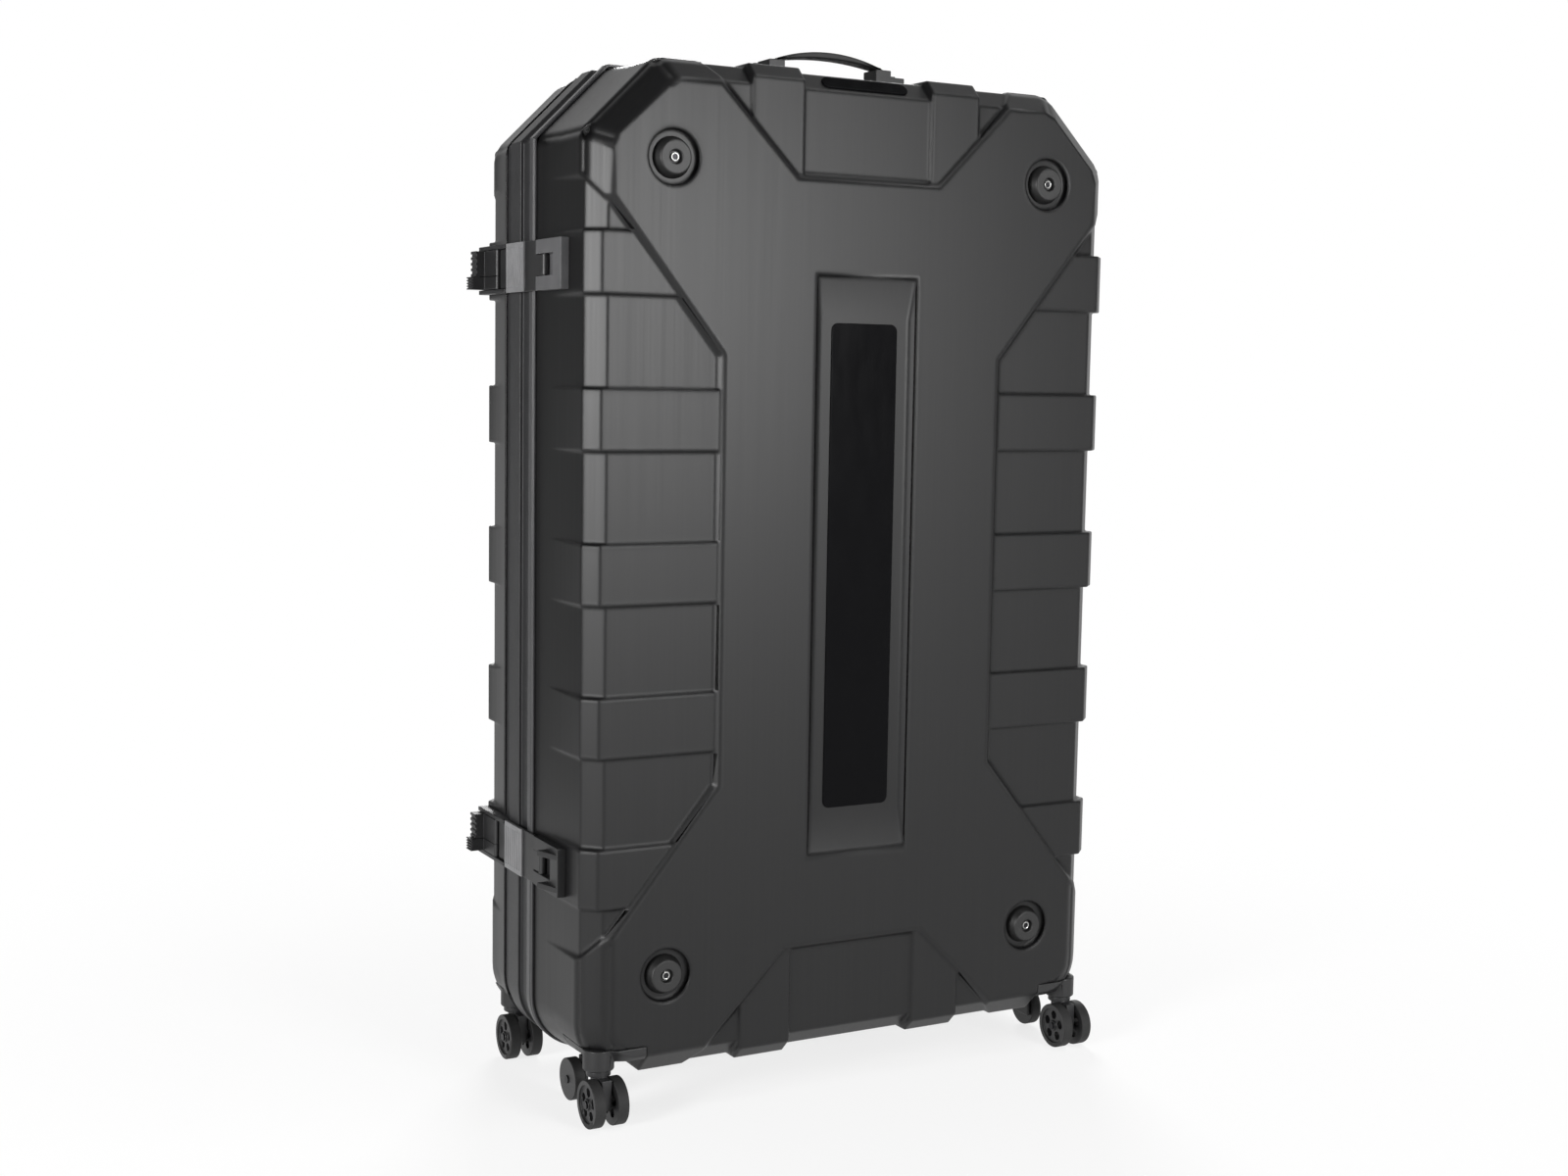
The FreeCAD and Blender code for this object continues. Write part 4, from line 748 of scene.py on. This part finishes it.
def remeshed_blank(node, back):
    """An even mesh of a thinner copy of a pad, which keeps its back where it rests."""
    bm = merged_copy(node)
    to_back = Matrix.Translation((0, -back, 0))
    bmesh.ops.scale(bm, vec=(1, PAD_START, 1), space=to_back, verts=bm.verts)
    blank = bpy.data.objects.new("blank", bpy.data.meshes.new("blank"))
    bm.to_mesh(blank.data)
    bm.free()
    scene.collection.objects.link(blank)
    even = blank.modifiers.new("even_squares", "REMESH")
    even.mode = "VOXEL"
    even.voxel_size = PAD_VOXEL
    mesh = bpy.data.meshes.new_from_object(blank.evaluated_get(bpy.context.evaluated_depsgraph_get()))
    bpy.data.objects.remove(blank)
    return mesh


# %% Air pressure
PAD_PRESSURE = 4
SWELL_CAP = 0.0046
SWELL_FRAMES = 20
NO_LENGTH = 1e-9


def swell(pad):
    """Runs the cloth for some frames, and moves each point of the pad by the capped result."""
    cloth = pad.modifiers.new("foam_pressure", "CLOTH")
    cloth.settings.use_pressure = True
    cloth.settings.uniform_pressure_force = PAD_PRESSURE
    cloth.settings.vertex_group_mass = "sewn"
    cloth.settings.effector_weights.gravity = 0
    for number in range(1, SWELL_FRAMES + 1):
        scene.frame_set(number)
    full = pad.evaluated_get(bpy.context.evaluated_depsgraph_get()).data
    moves = [new.co - old.co for new, old in zip(full.vertices, pad.data.vertices)]
    pad.modifiers.remove(cloth)
    scene.frame_set(1)
    for vert, move in zip(pad.data.vertices, moves):
        vert.co += move * min(1, SWELL_CAP / max(move.length, NO_LENGTH))


# %% Foam pads
SEAM_SHARE = 0.3
SEAM_HALF = 0.0034


def foam_pad(node, back):
    """A sewn pad that rests on its back, in place of a node."""
    low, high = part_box(node)
    mesh = remeshed_blank(node, back)
    mesh.name = "sewn_" + node
    pad = bpy.data.objects.new(mesh.name, mesh)
    scene.collection.objects.link(pad)
    sewn = pad.vertex_groups.new(name="sewn")
    for vert in mesh.vertices:
        on_back = abs(vert.co.y - back) < PAD_VOXEL / 2
        on_seam = seam_distance(vert.co, low, high) < SEAM_HALF
        if on_seam:
            vert.co.y = back + (vert.co.y - back) * SEAM_SHARE
        if on_back or on_seam:
            sewn.add([vert.index], 1, "REPLACE")
    swell(pad)
    mesh.shade_smooth()
    mesh.materials.clear()
    mesh.materials.append(pad_knit)
    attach(pad, body_of[node])
    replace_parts(pad, node)
    reach = [vert.co.y for vert in mesh.vertices]
    print(node, "has", len(mesh.vertices), "points, and is", round(max(reach) - min(reach), 4), "m thick")
    return pad


foam_pad("front_pad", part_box("front_pad")[0].y)
foam_pad("rear_pad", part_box("rear_pad")[1].y)

# %% [markdown]
# ## Tie straps
# Two woven tapes hold the load against the rear pad. Tape is flat, so it is modelled directly: a thin
# strip with rounded selvedges, folded back where it is sewn to the shell and where it runs through its
# buckle. Each fold is held by a box of stitches with a cross in it, made of short thread lumps.

# %% Helpers for tape and thread
SELVEDGE_SHARE = 0.35
SELVEDGE_SEGMENTS = 2
STITCH = 0.0032
STITCH_FILL = 0.4
THREAD = 0.0006


def soften(bm, edges, width, segments):
    """Bevels edges by a width on each side."""
    bmesh.ops.bevel(
        bm, geom=list(edges), offset=width, offset_type="OFFSET", segments=segments, profile=0.5,
        affect="EDGES", material=-1,
    )


def strip(bm, low, high):
    """Adds a flat strip between two corners, with its edges rounded."""
    edges = {edge for vert in block(bm, low, high) for edge in vert.link_edges}
    soften(bm, edges, SELVEDGE_SHARE * min(high - low), SELVEDGE_SEGMENTS)


def stitch_line(bm, start, end):
    """Adds a row of thread lumps from one point to another on a tape's free face."""
    run = end - start
    count = round(run.length / STITCH)
    turn = run.to_track_quat("X", "Y").to_matrix().to_4x4()
    lump = Matrix.Diagonal((STITCH_FILL * STITCH, THREAD, THREAD, 1))
    for number in range(count):
        middle = start + run * (number + 0.5) / count
        place = Matrix.Translation(middle) @ turn @ lump
        bmesh.ops.create_icosphere(bm, subdivisions=1, radius=1, matrix=place)


# %% Tie straps
TAPE_WIDTH = 0.025
TAPE_SHARE = 0.55
FOLD = 0.045
STITCH_END = 0.005
STITCH_SIDE = 0.004
BOX_AND_CROSS = ((0, 1), (1, 2), (2, 3), (3, 0), (0, 2), (1, 3))

strap_low, strap_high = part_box("tie_straps")
buckle_low, buckle_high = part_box("tie_buckles")
fold_y = strap_high.y - TAPE_SHARE * (strap_high.y - strap_low.y)
folds = [
    (strap_low.x, strap_low.x + FOLD),
    (strap_high.x - FOLD, strap_high.x),
    (buckle_high.x, buckle_high.x + FOLD),
]
tapes = bmesh.new()
threads = bmesh.new()
for bottom in (strap_low.z, strap_high.z - TAPE_WIDTH):
    top = bottom + TAPE_WIDTH
    strip(tapes, Vector((strap_low.x, fold_y, bottom)), Vector((strap_high.x, strap_high.y, top)))
    for first, last in folds:
        strip(tapes, Vector((first, strap_low.y, bottom)), Vector((last, fold_y, top)))
        left, right = first + STITCH_END, last - STITCH_END
        under, over = bottom + STITCH_SIDE, top - STITCH_SIDE
        box = [
            Vector((x, strap_low.y, z))
            for x, z in ((left, under), (right, under), (right, over), (left, over))
        ]
        for start, end in BOX_AND_CROSS:
            stitch_line(threads, box[start], box[end])
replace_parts(finished("woven_tie_straps", tapes, webbing_black, "tie_straps"), "tie_straps")
print("threads have", len(threads.faces), "faces")
finished("strap_threads", threads, thread_grey, "tie_straps")

# %% [markdown]
# ### Strap buckles
# Each tape is closed by a side-release buckle. Its body is a flat block with a dished face, which is
# inset and pushed in. The catch that goes into it is a frame of rounded strips: a collar, two rails, the
# bar that the tape goes round, and two prongs that show at the body's sides.

# %% Body of a buckle
BUCKLE_ROUND = 0.0009
DISH_BORDER = 0.005
DISH_SLOPE = 0.0015
DISH_DEPTH = 0.0016


def buckle_body(bm, low, high):
    """Adds a rounded block between two corners, with a dish in its front face."""
    faces = {face for vert in block(bm, low, high) for face in vert.link_faces}
    front = min(faces, key=lambda face: face.calc_center_median().y)
    bmesh.ops.inset_region(bm, faces=[front], thickness=DISH_BORDER, depth=0)
    bmesh.ops.inset_region(bm, faces=[front], thickness=DISH_SLOPE, depth=-DISH_DEPTH)
    edges = {edge for face in bm.faces for edge in face.edges if edge.calc_face_angle(0) > SHARP}
    soften(bm, edges, BUCKLE_ROUND, ROUND_SEGMENTS)


# %% Catch of a buckle
CATCH_FRONT = 0.0012
CATCH_BACK = 0.0004
COLLAR = (0.0008, 0.0055)
BAR = 0.005
RAIL = 0.005
RAIL_ENDS = (0.003, 0.002)
PRONG = (0.019, 0.006)
PRONG_WIDTH = 0.003
PRONG_PROUD = 0.0006
PRONG_BACK = 0.001


def buckle_catch(bm, split, low, high):
    """Adds the collar, tape bar, two rails and two prongs of a catch that meets the body at split."""
    near_y = low.y + CATCH_FRONT
    far_y = high.y - CATCH_BACK
    strip(bm, Vector((split + COLLAR[0], near_y, low.z)), Vector((split + COLLAR[1], far_y, high.z)))
    strip(bm, Vector((high.x - BAR, near_y, low.z)), Vector((high.x, far_y, high.z)))
    rail_start, rail_end = split + RAIL_ENDS[0], high.x - RAIL_ENDS[1]
    for first, last in ((low.z, low.z + RAIL), (high.z - RAIL, high.z)):
        strip(bm, Vector((rail_start, near_y, first)), Vector((rail_end, far_y, last)))
    root, tip = split - PRONG[1], split - PRONG[0]
    lower = (low.z - PRONG_PROUD, low.z + PRONG_WIDTH)
    upper = (high.z - PRONG_WIDTH, high.z + PRONG_PROUD)
    for first, last in (lower, upper):
        strip(bm, Vector((tip, near_y, first)), Vector((root, far_y - PRONG_BACK, last)))


# %% Strap buckles
BUCKLE_HEIGHT = 0.036
BODY_SHARE = 0.62

split = buckle_low.x + BODY_SHARE * (buckle_high.x - buckle_low.x)
for number, bottom in enumerate((buckle_low.z, buckle_high.z - BUCKLE_HEIGHT)):
    low = Vector((buckle_low.x, buckle_low.y, bottom))
    high = Vector((buckle_high.x, buckle_high.y, bottom + BUCKLE_HEIGHT))
    bm = bmesh.new()
    buckle_body(bm, low, Vector((split, high.y, high.z)))
    buckle_catch(bm, split, low, high)
    print("buckle", number, "has", len(bm.faces), "faces")
    piece = finished(f"strap_buckle_{number}", bm, latch_black_and_anchor_shade, "tie_buckles")
    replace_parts(piece, "tie_buckles")
